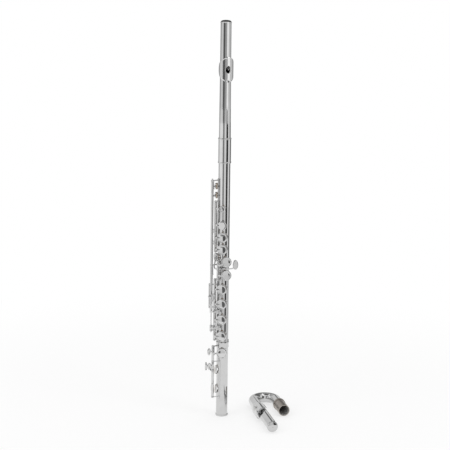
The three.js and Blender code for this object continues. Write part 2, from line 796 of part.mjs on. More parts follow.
// Foot joint. The C key and its roller touch are pinned to the foot steel and turn with it.
function buildFoot() {
  const bore = tubeRadius - wall;
  const socketBottom = footSocketTop - footSocketDepth;
  const socketOuter = tubeRadius + slip + socketWall;
  let tube = solid(revolve([
    [0, 0],
    [endRingRadius, 0],
    [endRingRadius, endRingHeight],
    [tubeRadius, endRingHeight],
    [tubeRadius, socketBottom - wall],
    [socketOuter, socketBottom],
    [socketOuter, footSocketTop - endRingHeight],
    [endRingRadius + slip, footSocketTop - endRingHeight],
    [endRingRadius + slip, footSocketTop],
    [0, footSocketTop],
  ], tubeSides));
  tube = drilled(tube, bore, [
    { turn: footTurn, height: places.c, radius: footHoleRadius },
    { turn: footTurn, height: places.cSharp, radius: footHoleRadius },
    { turn: 0, height: places.dSharp, radius: footHoleRadius },
  ]);
  tube = tube.subtract(rod(tubeRadius + slip, socketBottom, footSocketTop + overrun));
  tube = tube.add(post(rods.foot, footTopPost, footTopPostTurn));
  addPart(flute, 'foot_tube', tube, silver);
  rib('foot_rib', footLowPost - ballHeight, footMidPost + ballHalf, [
    [rods.foot, footLowPost],
    [rods.foot, footMidPost],
  ], footRibTurn, footRibSpread);

  const line = rods.foot;
  const back = [-line.x, -line.y, 0];
  const cTop = (places.c + places.cSharp) / 2 - hingeRadius * 2;
  const touchLow = footMidPost - ballHalf - footTouchTube;
  const frontY = line.y - touchThickness * 2;
  const touchX = line.x - footTouchReach;
  addKey({
    name: 'foot_c_key',
    line,
    turn: footTurn,
    height: places.c,
    from: footLowPost + ballHalf,
    to: cTop,
    lift: keyLift * footLiftShare,
  });
  addKey({
    name: 'foot_c_sharp_key',
    line,
    turn: footTurn,
    height: places.cSharp,
    from: cTop,
    to: touchLow,
    lift: keyLift * footLiftShare,
    extras: [
      touchPlate(touchX, frontY, cTouchHeight, footTouchWidth, footTouchLength),
      lever([
        [line.x, line.y - steelRadius, touchLow - armWidth],
        [line.x - footTouchReach / 2, frontY, touchLow - armWidth / 2],
        [touchX, frontY, cTouchHeight],
      ]),
    ],
  });
  const dSharpTouchHeight = places.dSharp + armWidth;
  addKey({
    name: 'foot_d_sharp_key',
    line,
    turn: 0,
    height: places.dSharp,
    from: footMidPost + ballHalf,
    to: footTopPost - ballHalf,
    extras: [
      touchPlate(touchX, frontY, dSharpTouchHeight, footTouchWidth, footTouchLength),
      lever([
        [line.x, line.y - steelRadius, dSharpTouchHeight],
        [line.x - footTouchReach / 2, frontY, dSharpTouchHeight],
        [touchX, frontY, dSharpTouchHeight],
      ]),
    ],
  });
  const pivot = hang(line, openAngle(line, footTurn, keyLift * footLiftShare));
  addSteel('foot_steel', line, footLowPost, footTopPost, pivot, back);

  // The roller turns on a pin between two lugs, beside the C sharp touch.
  const rollerX = touchX - footTouchWidth - rollerRadius - running * 2;
  const rollerLow = cTouchHeight - rollerLength / 2;
  const rollerTop = cTouchHeight + rollerLength / 2;
  const behindY = frontY + rollerRadius + leverThickness;
  const lugLow = rollerLow - running - leverThickness / 2;
  const lugTop = rollerTop + running + leverThickness / 2;
  const lugLong = behindY - frontY + leverWidth;
  const lug = (height) => solid(new THREE.BoxGeometry(leverWidth, lugLong, leverThickness)
    .translate(rollerX, (frontY + behindY) / 2, height));
  const pin = rod(rollerPin, lugLow, lugTop, knobSides).translate(rollerX, frontY, 0);
  const spine = solid(new THREE.BoxGeometry(leverWidth, leverThickness, lugTop - lugLow)
    .translate(rollerX, behindY + leverThickness / 2, (lugLow + lugTop) / 2));
  const frame = hingeTube(line, touchLow, footMidPost - ballHalf)
    .add(lever([
      [line.x, line.y + steelRadius, cTouchHeight],
      [(line.x + rollerX) / 2, line.y + hingeRadius * rollerArmShare, cTouchHeight],
      [rollerX, behindY + leverThickness / 2, cTouchHeight],
    ]))
    .add(spine)
    .add(lug(lugLow))
    .add(lug(lugTop))
    .add(pin)
    .subtract(boreFor(line, steelRadius + running));
  addPart(pivot, 'foot_c_touch', frame.translate(back), silver);
  const roller = pipe(rollerRadius, rollerPin + running, rollerLow, rollerTop, rodSides);
  addPart(pivot, 'foot_roller', roller.translate(rollerX, frontY, 0).translate(back), silver);
}

// The fittings both head joints share, in the head's own frame: the embouchure hole faces -Y
// at height zero and the crown is at the top.
function headFittings(group, prefix) {
  const top = crownEndReach;
  const turnless = wallFrame(0, 0);
  const faceOn = (geometry) => solid(geometry.applyMatrix4(turnless));
  const lipCentre = new THREE.Vector2(0, lipOffset);
  const spread = rad(lipSpread);
  const arc = new THREE.Shape();
  const from = Math.PI / 2 - spread;
  const to = Math.PI / 2 + spread;
  arc.absarc(lipCentre.x, lipCentre.y, lipRadius + lipThickness, from, to, false);
  arc.absarc(lipCentre.x, lipCentre.y, lipRadius, to, from, true);
  const plate = slab(arc, lipLength, lipArcSteps).translate(0, 0, -lipLength / 2).rotateX(Math.PI / 2);
  const reach = lipRadius + lipThickness + lipOffset;
  const outline = revolve([[0, -reach], [1, -reach], [1, reach + overrun], [0, reach + overrun]], lipSides);
  outline.scale(lipWidth / 2, lipLength / 2, 1);
  const oval = (wide, long, bottom, height) => revolve(
    [[0, bottom], [1, bottom], [1, height], [0, height]], cupSides).scale(wide, long, 1);
  const seat = crownBoreRadius + headWall;
  const riserTop = reach - lipThickness / 2;
  const riser = oval(embouchureWide + lipThickness, embouchureLong + lipThickness, seat - headWall, riserTop);
  const blank = rod(seat + slip + headTaper, -lipLength, lipLength, tubeSides);
  const hole = oval(embouchureWide, embouchureLong, 0, reach + overrun);
  const lip = faceOn(plate)
    .intersect(faceOn(outline))
    .add(faceOn(riser))
    .subtract(blank)
    .subtract(faceOn(hole));
  addPart(group, `${prefix}_lip_plate`, lip, silver);

  const rim = top + endPlay;
  const threadHole = threadRadius + running;
  const plug = crownBoreRadius - slip;
  const dome = domeShares.map(([r, h]) => [crownRadius * r, rim + crownRimHeight + crownDome * h]);
  addPart(group, `${prefix}_crown`, solid(revolve([
    [0, rim + crownRimHeight],
    [threadHole, rim + crownRimHeight],
    [threadHole, rim - crownPlug],
    [plug, rim - crownPlug],
    [plug, rim],
    [crownRadius, rim],
    ...dome,
  ], tubeSides)), silver);

  const corkRadius = crownBoreRadius - slip;
  const corkLow = stopperReach + stopperPlate + running;
  addPart(group, `${prefix}_stopper_screw`, solid(revolve([
    [0, stopperReach],
    [corkRadius, stopperReach],
    [corkRadius, stopperReach + stopperPlate],
    [threadRadius, stopperReach + stopperPlate],
    [threadRadius, rim],
    [0, rim],
  ], cupSides)), silver);
  const cork = pipe(corkRadius, threadRadius + running, corkLow, corkLow + corkLength, cupSides);
  addPart(group, `${prefix}_stopper_cork`, cork, corkLook);
}

function embouchureCut() {
  const cutter = revolve([[0, overrun], [1, overrun], [1, lipRadius * 2], [0, lipRadius * 2]], cupSides)
    .scale(embouchureWide, embouchureLong, 1)
    .applyMatrix4(wallFrame(0, 0));
  return solid(cutter);
}

function buildStraightHead() {
  const group = new THREE.Group();
  group.position.set(0, 0, embouchureHeight);
  group.rotation.z = rad(lipTurn);
  flute.add(group);
  const bottom = barrelBottom + bodyInBarrel + headDraw + endPlay - embouchureHeight;
  const taperEnd = barrelBottom + barrelLength - embouchureHeight;
  const bore = tubeRadius - headWall;
  const tube = solid(revolve([
    [bore, bottom],
    [tubeRadius, bottom],
    [tubeRadius, taperEnd],
    [crownBoreRadius + headWall + headTaper / 2, 0],
    [crownBoreRadius + headWall, crownEndReach],
    [crownBoreRadius, crownEndReach],
    [crownBoreRadius + headTaper / 2, 0],
    [bore, taperEnd],
  ], tubeSides)).subtract(embouchureCut());
  addPart(group, 'head_tube', tube, silver);
  headFittings(group, 'head');
}

class HalfTurn extends THREE.Curve {
  getPoint(t, target = new THREE.Vector3()) {
    const a = Math.PI * (1 - t);
    return target.set(bendRadius * Math.cos(a), bendRadius * Math.sin(a), 0);
  }
}

// A round bar along a curve, used for the outside and for the bore of the bent tube.
function along(curve, radius, steps) {
  const section = shapeOf(Array.from({ length: bendSides }, (_, i) => {
    const a = (2 * Math.PI * i) / bendSides;
    return [radius * Math.cos(a), radius * Math.sin(a)];
  }));
  return solid(new THREE.ExtrudeGeometry(section, { steps, extrudePath: curve }));
}

function uTube(radius, lipEnd, tenonEnd) {
  const lipX = -bendRadius;
  const lipLine = new THREE.LineCurve3(
    new THREE.Vector3(lipX, -lipEnd, 0), new THREE.Vector3(lipX, bendLap, 0));
  const tenonLine = new THREE.LineCurve3(
    new THREE.Vector3(bendRadius, bendLap, 0), new THREE.Vector3(bendRadius, -tenonEnd, 0));
  return along(lipLine, radius, 1)
    .add(along(new HalfTurn(), radius, bendSteps))
    .add(along(tenonLine, radius, 1));
}

function buildCurvedHead() {
  const group = new THREE.Group();
  const fittings = new THREE.Group();
  const a = rad(curvedRoll);
  const back = new THREE.Vector3(Math.cos(a), 0, -Math.sin(a));
  const up = new THREE.Vector3(0, -1, 0);
  const side = new THREE.Vector3().crossVectors(back, up);
  fittings.setRotationFromMatrix(new THREE.Matrix4().makeBasis(side, back, up));
  fittings.position.set(-bendRadius, crownEndReach - curvedLipLeg, 0);
  fittings.updateMatrix();
  group.add(fittings);

  const outer = crownBoreRadius + headWall;
  const joint = curvedTenonLeg - sleeveLength;
  const cut = embouchureCut().transform(fittings.matrix.toArray());
  const tube = uTube(outer, curvedLipLeg, joint)
    .subtract(uTube(crownBoreRadius, curvedLipLeg + overrun, joint + overrun))
    .subtract(cut);
  addPart(group, 'curved_head_tube', tube, silver);

  const overlap = collarLength / 2;
  const lap = outer + slip;
  const tenon = solid(revolve([
    [crownBoreRadius, -curvedTenonLeg],
    [tubeRadius, -curvedTenonLeg],
    [tubeRadius, -joint - overlap],
    [collarRadius, -joint - overlap],
    [collarRadius, -joint + overlap],
    [lap, -joint + overlap],
    [lap, -joint - endPlay],
    [crownBoreRadius, -joint - endPlay],
  ], tubeSides).rotateX(-Math.PI / 2).translate(bendRadius, 0, 0));
  addPart(group, 'curved_tenon', tenon, satin);
  headFittings(fittings, 'curved');

  group.rotation.z = rad(curvedHeading);
  group.position.set(curvedX, curvedY, 0);
  group.updateMatrixWorld(true);
  group.position.z = -new THREE.Box3().setFromObject(group, true).min.z;
  flute.add(group);
}

buildBody();
buildRibs();
buildRightHand();
buildOffsetKeys();
buildLeftHand();
buildThumbKeys();
buildTrills();
buildFoot();
buildStraightHead();
buildCurvedHead();

// The set is centred over its own footprint.
const extent = new THREE.Box3().setFromObject(flute, true);
const middle = extent.getCenter(new THREE.Vector3());
flute.position.set(-middle.x, -middle.y, 0);
const set = new THREE.Group();
set.add(flute);

export default set;
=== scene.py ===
import math

import bmesh
import bpy
import numpy as np
from mathutils import Matrix, Vector


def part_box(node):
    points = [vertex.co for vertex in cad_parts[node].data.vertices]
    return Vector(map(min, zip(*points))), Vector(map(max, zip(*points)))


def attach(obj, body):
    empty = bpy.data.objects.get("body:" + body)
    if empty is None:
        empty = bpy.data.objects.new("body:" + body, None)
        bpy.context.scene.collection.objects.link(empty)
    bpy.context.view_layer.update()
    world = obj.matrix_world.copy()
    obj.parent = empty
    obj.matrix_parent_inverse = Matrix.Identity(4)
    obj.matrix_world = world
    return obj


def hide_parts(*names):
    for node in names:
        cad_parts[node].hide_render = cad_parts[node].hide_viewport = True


# A closed-hole concert flute on its foot, with a spare curved head joint beside it.
# Lengths are written in millimetres and scaled once, where a mesh is made.
MM = 0.001

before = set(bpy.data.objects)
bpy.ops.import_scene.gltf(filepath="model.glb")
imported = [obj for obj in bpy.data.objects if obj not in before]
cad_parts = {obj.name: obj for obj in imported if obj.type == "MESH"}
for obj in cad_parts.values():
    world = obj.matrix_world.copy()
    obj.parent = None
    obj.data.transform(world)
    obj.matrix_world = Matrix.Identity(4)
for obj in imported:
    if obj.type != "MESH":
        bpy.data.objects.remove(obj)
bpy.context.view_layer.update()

# The upright tube's axis in the row frame; everything below is written from it.
barrel_low, barrel_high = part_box("barrel")
AXIS = Vector(((barrel_low.x + barrel_high.x) / 2, (barrel_low.y + barrel_high.y) / 2, 0))

# Tube
TUBE = 9.9
WALL = 0.45
SLIP = 0.25
END_CORRECTION = 63.4
LOWEST_HOLE = 47
LOWEST_REACH = 553
LIP_HEIGHT = LOWEST_HOLE + LOWEST_REACH
SEMITONE = 2 ** (-1 / 12)
SOCKET_DEPTH = 10.6
SOCKET_WALL = 0.7
TENON = 10
RING_HEIGHT = 2.6
RING = 10.9
BARREL_LONG = 42.5
BARREL = 10.65
BARREL_RING = 11.25
BARREL_RING_HEIGHT = 2.4
BODY_IN_BARREL = 6
HEAD_DRAW = 5.5

# Tone holes and cups
HOLE = 6.9
FOOT_HOLE = 7.2
SMALL_HOLE = 3.2
CHIMNEY_WALL = 0.6
CHIMNEY = 1.7
RIM = TUBE + CHIMNEY
PAD_GAP = 0.3
PAD_HEIGHT = 2.3
PAD_PROUD = 0.9
PAD_PLAY = 0.25
CUP_WALL = 0.5
CUP_TOP = 0.6
CUP_RIM = 0.45
CUP = 8.8
SIDE_CUP = 7.5
SMALL_CUP = 5.6
CEILING = RIM + PAD_GAP + PAD_HEIGHT + PAD_PLAY
TOP = CEILING + CUP_TOP

# Rods and posts
STEEL = 1.05
RUNNING = 0.3
HINGE = 1.95
HINGE_OUT = 2.25
POST = 1
BALL = 2.45
BALL_HEIGHT = 3.4
BALL_HALF = BALL_HEIGHT / 2
END_PLAY = 0.35
RIB = 0.9
RIB_CLEAR = 0.3
RIB_MIDDLE = TUBE + RIB_CLEAR + RIB * 0.6
ARM = 3.2
ARM_THICK = 1.3
LEVER = 2.4
LEVER_THICK = 1.4
TOUCH_THICK = 1.7
TOUCH = 7.6
KEY_LIFT = 2.6
# The cup's outline, as how far in from its side and how far up from its top
CUP_SIDE = ((0, -0.55), (0.06, -0.22), (0.2, 0.08))
CUP_CREST = ((0.42, -0.12), (0.7, -0.02), (0.95, 0), (1.15, -0.03), (1.35, -0.14))
CUP_DISH = ((1.6, 0.1), (1.85, 0.02), (2.1, 0))
CUP_DOME = 0.5
DOME_SHARES = ((0.6, 0.38), (0.45, 0.66), (0.3, 0.85), (0.15, 0.96), (0, 1))
# The pad's outline, as shares of its radius and heights over its face
PAD_SHAPE = (
    (0, 0.02), (0.5, 0), (0.86, 0), (0.94, 0.08), (0.985, 0.28), (1, 0.6), (1, PAD_HEIGHT), (0, PAD_HEIGHT))
# A touch plate's outline, as shares of its radius and of half its thickness
TOUCH_SHARES = (
    (0, -1), (0.8, -1), (0.93, -0.75), (0.985, -0.35), (1, 0), (0.99, 0.35), (0.95, 0.66), (0.88, 0.88),
    (0.78, 1), (0.5, 0.9), (0, 0.82))
RODS = {
    "main": (-13.5, -8),
    "trill": (-19.5, -8),
    "side": (-22.3, -2.5),
    "offset": (-8, -14),
    "thumb": (-12.5, 9.5),
    "foot": (-15.5, -13),
}
OFFSET_TURN = 26
G_SHARP_TURN = -60
TRILL_TURN = -105
FOOT_TURN = -85
RIB_TURN = -68
RIB_SPREAD = 13
OUTER_TURN = -80
OFFSET_RIB_TURN = -34
THUMB_RIB_TURN = -127
FOOT_RIB_TURN = -24
FOOT_POST_TURN = -45
NARROW_RIB = 7

# Head joints
CROWN_BORE = 8.6
HEAD_WALL = 0.45
CROWN_REACH = 76
CROWN = 9.45
CROWN_RIM = 2.2
CROWN_DOME = 2.6
LIP_THICK = 1.2
LIP_LONG = 42
LIP_RADIUS = 11.1
LIP_OFFSET = 2
LIP_SPREAD = 112
LIP_TURN = 25
LIP_DIP = 0.6
LIP_SEAT = 9.3
LIP_SIDES = 96
LIP_STEPS = 22
HOLE_WIDE = 5.2
HOLE_LONG = 6.1
STOPPER_LOW = 17
STOPPER_PLATE = 1.2
CORK_LONG = 15
HEAD_TAPER = 0.35
BEND = 20
CURVED_LIP_LEG = 134
CURVED_TENON_LEG = 57
SLEEVE = 34
COLLAR = 10.9
COLLAR_LONG = 5
CURVED_HEADING = 16
CURVED_ROLL = 35
CURVED_AT = (73.5, 50)

# Fineness of the turned and swept surfaces
TUBE_SIDES = 96
CUP_SIDES = 64
ROD_SIDES = 20
SWEEP_STEPS = 22


def hole_height(steps):
    """Height of the tone hole that many semitones above the lowest one."""
    return LIP_HEIGHT + END_CORRECTION - (LOWEST_REACH + END_CORRECTION) * SEMITONE**steps


NOTES = ["c", "c_sharp", "d_sharp", "d", "e", "f", "f_sharp", "g_lower", "g_upper", "a", "b_flat", "thumb"]
PLACE = {note: hole_height(i) for i, note in enumerate(NOTES)}

# Places along the tube, from the tone holes that they serve
SOCKET_TOP = (PLACE["d_sharp"] + PLACE["d"]) / 2 + 3.35
LOW_POST = PLACE["d"] - 7.87
MID_POST = (PLACE["e"] + PLACE["f"]) / 2
RIGHT_TOP = PLACE["f_sharp"] + 15.6
LEFT_LOW = PLACE["a"] - 4.7
OFFSET_LOW = PLACE["g_lower"] - 7.5
OFFSET_TOP = PLACE["g_upper"] - 1.1
SIDE_LOW = PLACE["f"] - 8.7
SIDE_TOP = PLACE["f_sharp"] + 5.4
G_SHARP_HOLE = PLACE["g_upper"] + 6.9
C_SHARP_HOLE = PLACE["thumb"] + 30
D_TRILL_HOLE = PLACE["thumb"] + 50
D_SHARP_TRILL_HOLE = D_TRILL_HOLE + 15.6
LEFT_TOP = C_SHARP_HOLE + 11
TRILL_LOW = PLACE["d"] + 8.4
TRILL_MID = (PLACE["g_lower"] + PLACE["g_upper"]) / 2 + 4.4
TRILL_TOP = D_SHARP_TRILL_HOLE + 10.9
BARREL_LOW = TRILL_TOP + 29.5
THUMB_LOW = PLACE["thumb"] - 33.9
THUMB_TOP = PLACE["thumb"] + 15.1
FOOT_LOW = PLACE["c"] - 11
FOOT_MID = PLACE["c_sharp"] + 17.9
FOOT_TOP = PLACE["d_sharp"] + 12.2
D_TRILL_TOUCH = (PLACE["e"] + PLACE["f"]) / 2
D_SHARP_TRILL_TOUCH = (PLACE["d"] + PLACE["e"]) / 2


# Meshes
def merged(*parts):
    """Several (vertices, faces) as one."""
    verts, faces, start = [], [], 0
    for v, f in parts:
        verts.append(np.asarray(v, float).reshape(-1, 3))
        faces += [[i + start for i in face] for face in f]
        start += len(v)
    return np.vstack(verts), faces


def moved(part, matrix):
    v, f = part
    m = np.array(matrix, float)
    out = np.asarray(v, float) @ m[:3, :3].T + m[:3, 3]
    if np.linalg.det(m[:3, :3]) < 0:
        f = [face[::-1] for face in f]
    return out, f


def shifted(part, x=0, y=0, z=0):
    return moved(part, Matrix.Translation((x, y, z)))


def rounded(points, radius=0.15, steps=3):
    """A closed outline with its corners rounded."""
    out = []
    n = len(points)
    for i, (x, y) in enumerate(points):
        here = np.array([x, y], float)
        a = np.array(points[i - 1], float) - here
        b = np.array(points[(i + 1) % n], float) - here
        la, lb = np.linalg.norm(a), np.linalg.norm(b)
        if x == 0 or la == 0 or lb == 0:
            out.append((x, y))
            continue
        cut = min(radius, la * 0.45, lb * 0.45)
        p, q = here + a / la * cut, here + b / lb * cut
        for k in range(steps + 1):
            t = k / steps
            r = (1 - t) ** 2 * p + 2 * t * (1 - t) * here + t * t * q
            out.append((float(r[0]), float(r[1])))
    return out


def lathe(profile, sides=CUP_SIDES):
    """A profile of (radius, height) pairs, outside first, turned about Z."""
    closed = profile[0][0] > 0
    rings, verts, faces = [], [], []
    for r, h in profile:
        if r <= 1e-9:
            rings.append([len(verts)])
            verts.append((0, 0, h))
            continue
        rings.append(list(range(len(verts), len(verts) + sides)))
        a = np.arange(sides) * 2 * math.pi / sides
        verts += list(zip(r * np.cos(a), r * np.sin(a), np.full(sides, float(h))))
    pairs = list(zip(rings, rings[1:]))
    if closed:
        pairs.append((rings[-1], rings[0]))
    for low, high in pairs:
        for i in range(sides):
            j = (i + 1) % sides
            face = []
            face += [low[0]] if len(low) == 1 else [low[i], low[j]]
            face += [high[0]] if len(high) == 1 else [high[j], high[i]]
            if len(set(face)) > 2:
                faces.append(face)
    return np.array(verts, float), faces


def plug(radius, low, high, sides=TUBE_SIDES):
    """A plain cylinder with sharp edges, to cut with."""
    return lathe([(0, low), (radius, low), (radius, high), (0, high)], sides)


def bar(radius, low, high, sides=ROD_SIDES, edge=0.15):
    return lathe(rounded([(0, low), (radius, low), (radius, high), (0, high)], edge), sides)


def bead(inner, outer, low, high, steps=8):
    """The half-round outline of a turned ring, from its lower to its upper edge."""
    middle, half = (low + high) / 2, (high - low) / 2
    turns = [math.pi * (k / steps - 0.5) for k in range(steps + 1)]
    return [(inner + (outer - inner) * math.cos(a) ** 0.8, middle + half * math.sin(a)) for a in turns]


def pipe(outer, inner, low, high, sides=TUBE_SIDES, edge=0.15):
    return lathe(rounded([(inner, low), (outer, low), (outer, high), (inner, high)], edge), sides)


def wall_frame(turn, height):
    """X round the tube, Y along it, Z out of it."""
    a = math.radians(turn)
    across = (math.cos(a), math.sin(a), 0)
    out = (math.sin(a), -math.cos(a), 0)
    return Matrix(((across[0], 0, out[0], 0), (across[1], 0, out[1], 0), (0, 1, 0, height), (0, 0, 0, 1)))


def on_wall(part, turn, height):
    return moved(part, wall_frame(turn, height))


def wall_point(turn, out):
    """The place in plan at that distance from the tube's axis."""
    a = math.radians(turn)
    return math.sin(a) * out, -math.cos(a) * out


def section(wide, thick, n=16, power=4):
    """A bar's rounded section."""
    out = []
    for i in range(n):
        a = 2 * math.pi * (i + 0.5) / n
        c, s = math.cos(a), math.sin(a)
        out.append((
            wide / 2 * math.copysign(abs(c) ** (2 / power), c),
            thick / 2 * math.copysign(abs(s) ** (2 / power), s),
        ))
    return out


def skin(rings):
    """Rings of equal count joined into a closed bar."""
    n = len(rings[0])
    verts = np.vstack(rings)
    faces = [list(range(n))[::-1]]
    for k in range(len(rings) - 1):
        for i in range(n):
            j = (i + 1) % n
            faces.append([k * n + i, k * n + j, (k + 1) * n + j, (k + 1) * n + i])
    faces.append([(len(rings) - 1) * n + i for i in range(n)])
    return verts, faces


def catmull(points, count):
    """Points evenly spaced on a centripetal curve through the given ones."""
    pts = [np.array(p, float) for p in points]
    pts = [2 * pts[0] - pts[1]] + pts + [2 * pts[-1] - pts[-2]]
    fine = []
    for i in range(1, len(pts) - 2):
        p0, p1, p2, p3 = pts[i - 1:i + 3]
        d0, d1, d2 = (max(np.linalg.norm(b - a) ** 0.5, 1e-4) for a, b in ((p0, p1), (p1, p2), (p2, p3)))
        t1 = ((p1 - p0) / d0 - (p2 - p0) / (d0 + d1) + (p2 - p1) / d1) * d1
        t2 = ((p2 - p1) / d1 - (p3 - p1) / (d1 + d2) + (p3 - p2) / d2) * d1
        square = -3 * p1 + 3 * p2 - 2 * t1 - t2
        cube = 2 * p1 - 2 * p2 + t1 + t2
        for t in np.arange(24) / 24:
            fine.append(p1 + t1 * t + square * t * t + cube * t**3)
    fine = np.array(fine + [pts[-2]])
    along = np.concatenate([[0], np.cumsum(np.linalg.norm(np.diff(fine, axis=0), axis=1))])
    at = np.linspace(0, along[-1], count)
    return np.column_stack([np.interp(at, along, fine[:, k]) for k in range(3)])


def frames(path):
    """Directions across a path, carried along it without twist."""
    tangents = np.gradient(path, axis=0)
    tangents /= np.linalg.norm(tangents, axis=1)[:, None]
    first = tangents[0]
    axis = np.zeros(3)
    axis[int(np.argmin(np.abs(first)))] = 1
    normal = np.cross(first, np.cross(first, axis))
    normals = []
    for t in tangents:
        normal = normal - t * np.dot(normal, t)
        normal /= np.linalg.norm(normal)
        normals.append(normal)
    normals = np.array(normals)
    return normals, np.cross(tangents, normals), tangents


def sweep(path, outline, blunt=0.35):
    """An outline carried along a path, with softly closed ends."""
    normals, binormals, tangents = frames(path)

    def ring(i, shrink, push):
        middle = path[i] + tangents[i] * push
        return np.array([middle + normals[i] * u * shrink + binormals[i] * v * shrink for u, v in outline])

    start = [ring(0, 0.72, -blunt), ring(0, 0.93, -blunt * 0.6)]
    end = [ring(-1, 0.93, blunt * 0.6), ring(-1, 0.72, blunt)]
    return skin(start + [ring(i, 1, 0) for i in range(len(path))] + end)


def lever(points, wide=LEVER, thick=LEVER_THICK):
    return sweep(catmull(points, SWEEP_STEPS), section(wide, thick))


def touch_plate(x, y, z, half_wide, half_long, turn=0):
    half = TOUCH_THICK / 2
    profile = [(share, height * half) for share, height in TOUCH_SHARES]
    plate = moved(lathe(profile), Matrix.Diagonal((half_wide, half_long, 1, 1)))
    out = Matrix(((1, 0, 0, 0), (0, 0, -1, 0), (0, 1, 0, 0), (0, 0, 0, 1)))
    return shifted(moved(moved(plate, out), Matrix.Rotation(math.radians(turn), 4, "Z")), x, y, z)


def cup(radius):
    skirt = RIM + PAD_GAP + PAD_PROUD
    inner = radius - CUP_WALL
    return lathe([
        (0, CEILING), (inner, CEILING), (inner, skirt + 0.1), (radius - CUP_WALL * 0.75, skirt),
        (radius - CUP_WALL * 0.25, skirt), (radius, skirt + 0.12),
        *[(radius - x, TOP + z) for x, z in CUP_SIDE],
        *[(radius - x, TOP + CUP_RIM + z) for x, z in CUP_CREST],
        *[(radius - x, TOP + z) for x, z in CUP_DISH],
        *[(radius * x, TOP + CUP_DOME * z) for x, z in DOME_SHARES]])


def pad(radius):
    seat = RIM + PAD_GAP
    outer = radius - CUP_WALL - PAD_PLAY
    return lathe([(outer * x, seat + z) for x, z in PAD_SHAPE])


def rod_at(line, turn):
    a = math.radians(turn)
    x, y = RODS[line]
    return x * math.cos(a) + y * math.sin(a), x * math.sin(a) - y * math.cos(a)


def arm(radius, line, turn, slant=0):
    """The pointed arm, from the hinge tube up beside the cup to a point on its top."""
    rod_t, rod_h = rod_at(line, turn)
    side = math.copysign(1, rod_t)
    edge = side * radius
    over = TOP + CUP_RIM + ARM_THICK / 2
    under = CEILING + CUP_TOP / 2
    reach = np.array([edge - rod_t, over - rod_h])
    reach = reach / np.linalg.norm(reach) * STEEL

    def bezier(a, b, c, t):
        return (1 - t) ** 2 * np.array(a) + 2 * t * (1 - t) * np.array(b) + t * t * np.array(c)

    top0 = (rod_t + side * abs(reach[1]), rod_h + abs(reach[0]))
    low0 = (rod_t - side * abs(reach[1]), rod_h - abs(reach[0]))
    stations = []
    for t in np.linspace(0, 1, 15):
        a = bezier(top0, (rod_t + 0.25 * (edge - rod_t), over), (edge, over), t)
        b = bezier(low0, (rod_t + 0.55 * (edge - rod_t), under), (edge, under), t)
        stations.append((a, b, ARM * (1 - 0.16 * math.sin(math.pi * min(t * 1.1, 1)))))
    tip = edge * 0.18
    for t in np.linspace(0, 1, 10)[1:]:
        x = edge + (tip - edge) * t
        a = np.array([x, over + (TOP + ARM_THICK / 2 - over) * t])
        b = np.array([x, under])
        stations.append((a, b, max(ARM * (1 - t**1.15), 0.16)))
    rings = []
    for a, b, wide in stations:
        centre, half = (a + b) / 2, (a - b) / 2
        rings.append(np.array([
            [centre[0] + half[0] * v, u, centre[1] + half[1] * v]
            for u, v in [(p * wide, q * 2) for p, q in section(1, 1, power=3.4)]]))
    v, f = skin(rings)
    v = v.copy()
    v[:, 1] += slant / rod_t * v[:, 0]
    return on_wall((v, f), turn, 0)


def hinge_tube(line, low, high):
    return shifted(bar(HINGE_OUT, low + END_PLAY / 2, high - END_PLAY / 2, 28), *RODS[line])


def swung(part, line, angle):
    """The part turned about its rod."""
    x, y = RODS[line]
    turn = Matrix.Rotation(angle, 4, "Z")
    return moved(part, Matrix.Translation((x, y, 0)) @ turn @ Matrix.Translation((-x, -y, 0)))


def open_angle(line, turn, lift):
    rod_t, _ = rod_at(line, turn)
    return math.copysign(math.asin(lift / abs(rod_t)), rod_t)


# Materials
def sockets(node, **values):
    """The node with its own sockets set; a socket's spaces are written as underscores."""
    for name, value in values.items():
        node.inputs[name.replace("_", " ")].default_value = value
    return node


def new_material(name):
    material = bpy.data.materials.new(name)
    material.use_nodes = True
    nodes = material.node_tree.nodes
    return material, nodes, material.node_tree.links, nodes["Principled BSDF"]


def noise(nodes, links, coords, scale, detail, roughness, stretch=(1, 1, 1)):
    mapping = sockets(nodes.new("ShaderNodeMapping"), Scale=stretch)
    links.new(coords, mapping.inputs["Vector"])
    texture = sockets(nodes.new("ShaderNodeTexNoise"), Scale=scale, Detail=detail, Roughness=roughness)
    links.new(mapping.outputs["Vector"], texture.inputs["Vector"])
    return texture.outputs["Fac"]


def ramp(nodes, links, value, stops):
    """A ramp between two colours, as (place, colour) each."""
    node = nodes.new("ShaderNodeValToRGB")
    for element, (at, colour) in zip(node.color_ramp.elements, stops):
        element.position = at
        element.color = (*colour, 1)
    links.new(value, node.inputs["Fac"])
    return node.outputs["Color"]


def bumped(nodes, links, shader, height, strength, distance):
    lift = sockets(nodes.new("ShaderNodeBump"), Strength=strength, Distance=distance)
    links.new(height, lift.inputs["Height"])
    links.new(lift.outputs["Normal"], shader.inputs["Normal"])


def grey(v):
    return (v, v, v)


def metal(name, light, dark, smoothest, roughest, brush=(1, 1, 1), bump=0.02, metallic=1):
    """Plated metal: soft tarnish clouds, fine wiping marks, and a little grain."""
    material, nodes, links, shader = new_material(name)
    coords = nodes.new("ShaderNodeTexCoord").outputs["Object"]
    clouds = noise(nodes, links, coords, 45, 4, 0.6)
    links.new(ramp(nodes, links, clouds, [(0.3, dark), (0.62, light)]), shader.inputs["Base Color"])
    wipes = noise(nodes, links, coords, 420, 5, 0.65, brush)
    worn = ramp(nodes, links, wipes, [(0.3, grey(smoothest)), (0.75, grey(roughest))])
    links.new(worn, shader.inputs["Roughness"])
    bumped(nodes, links, shader, wipes, bump, METAL_GRAIN * MM)
    sockets(shader, Metallic=metallic)
    return material


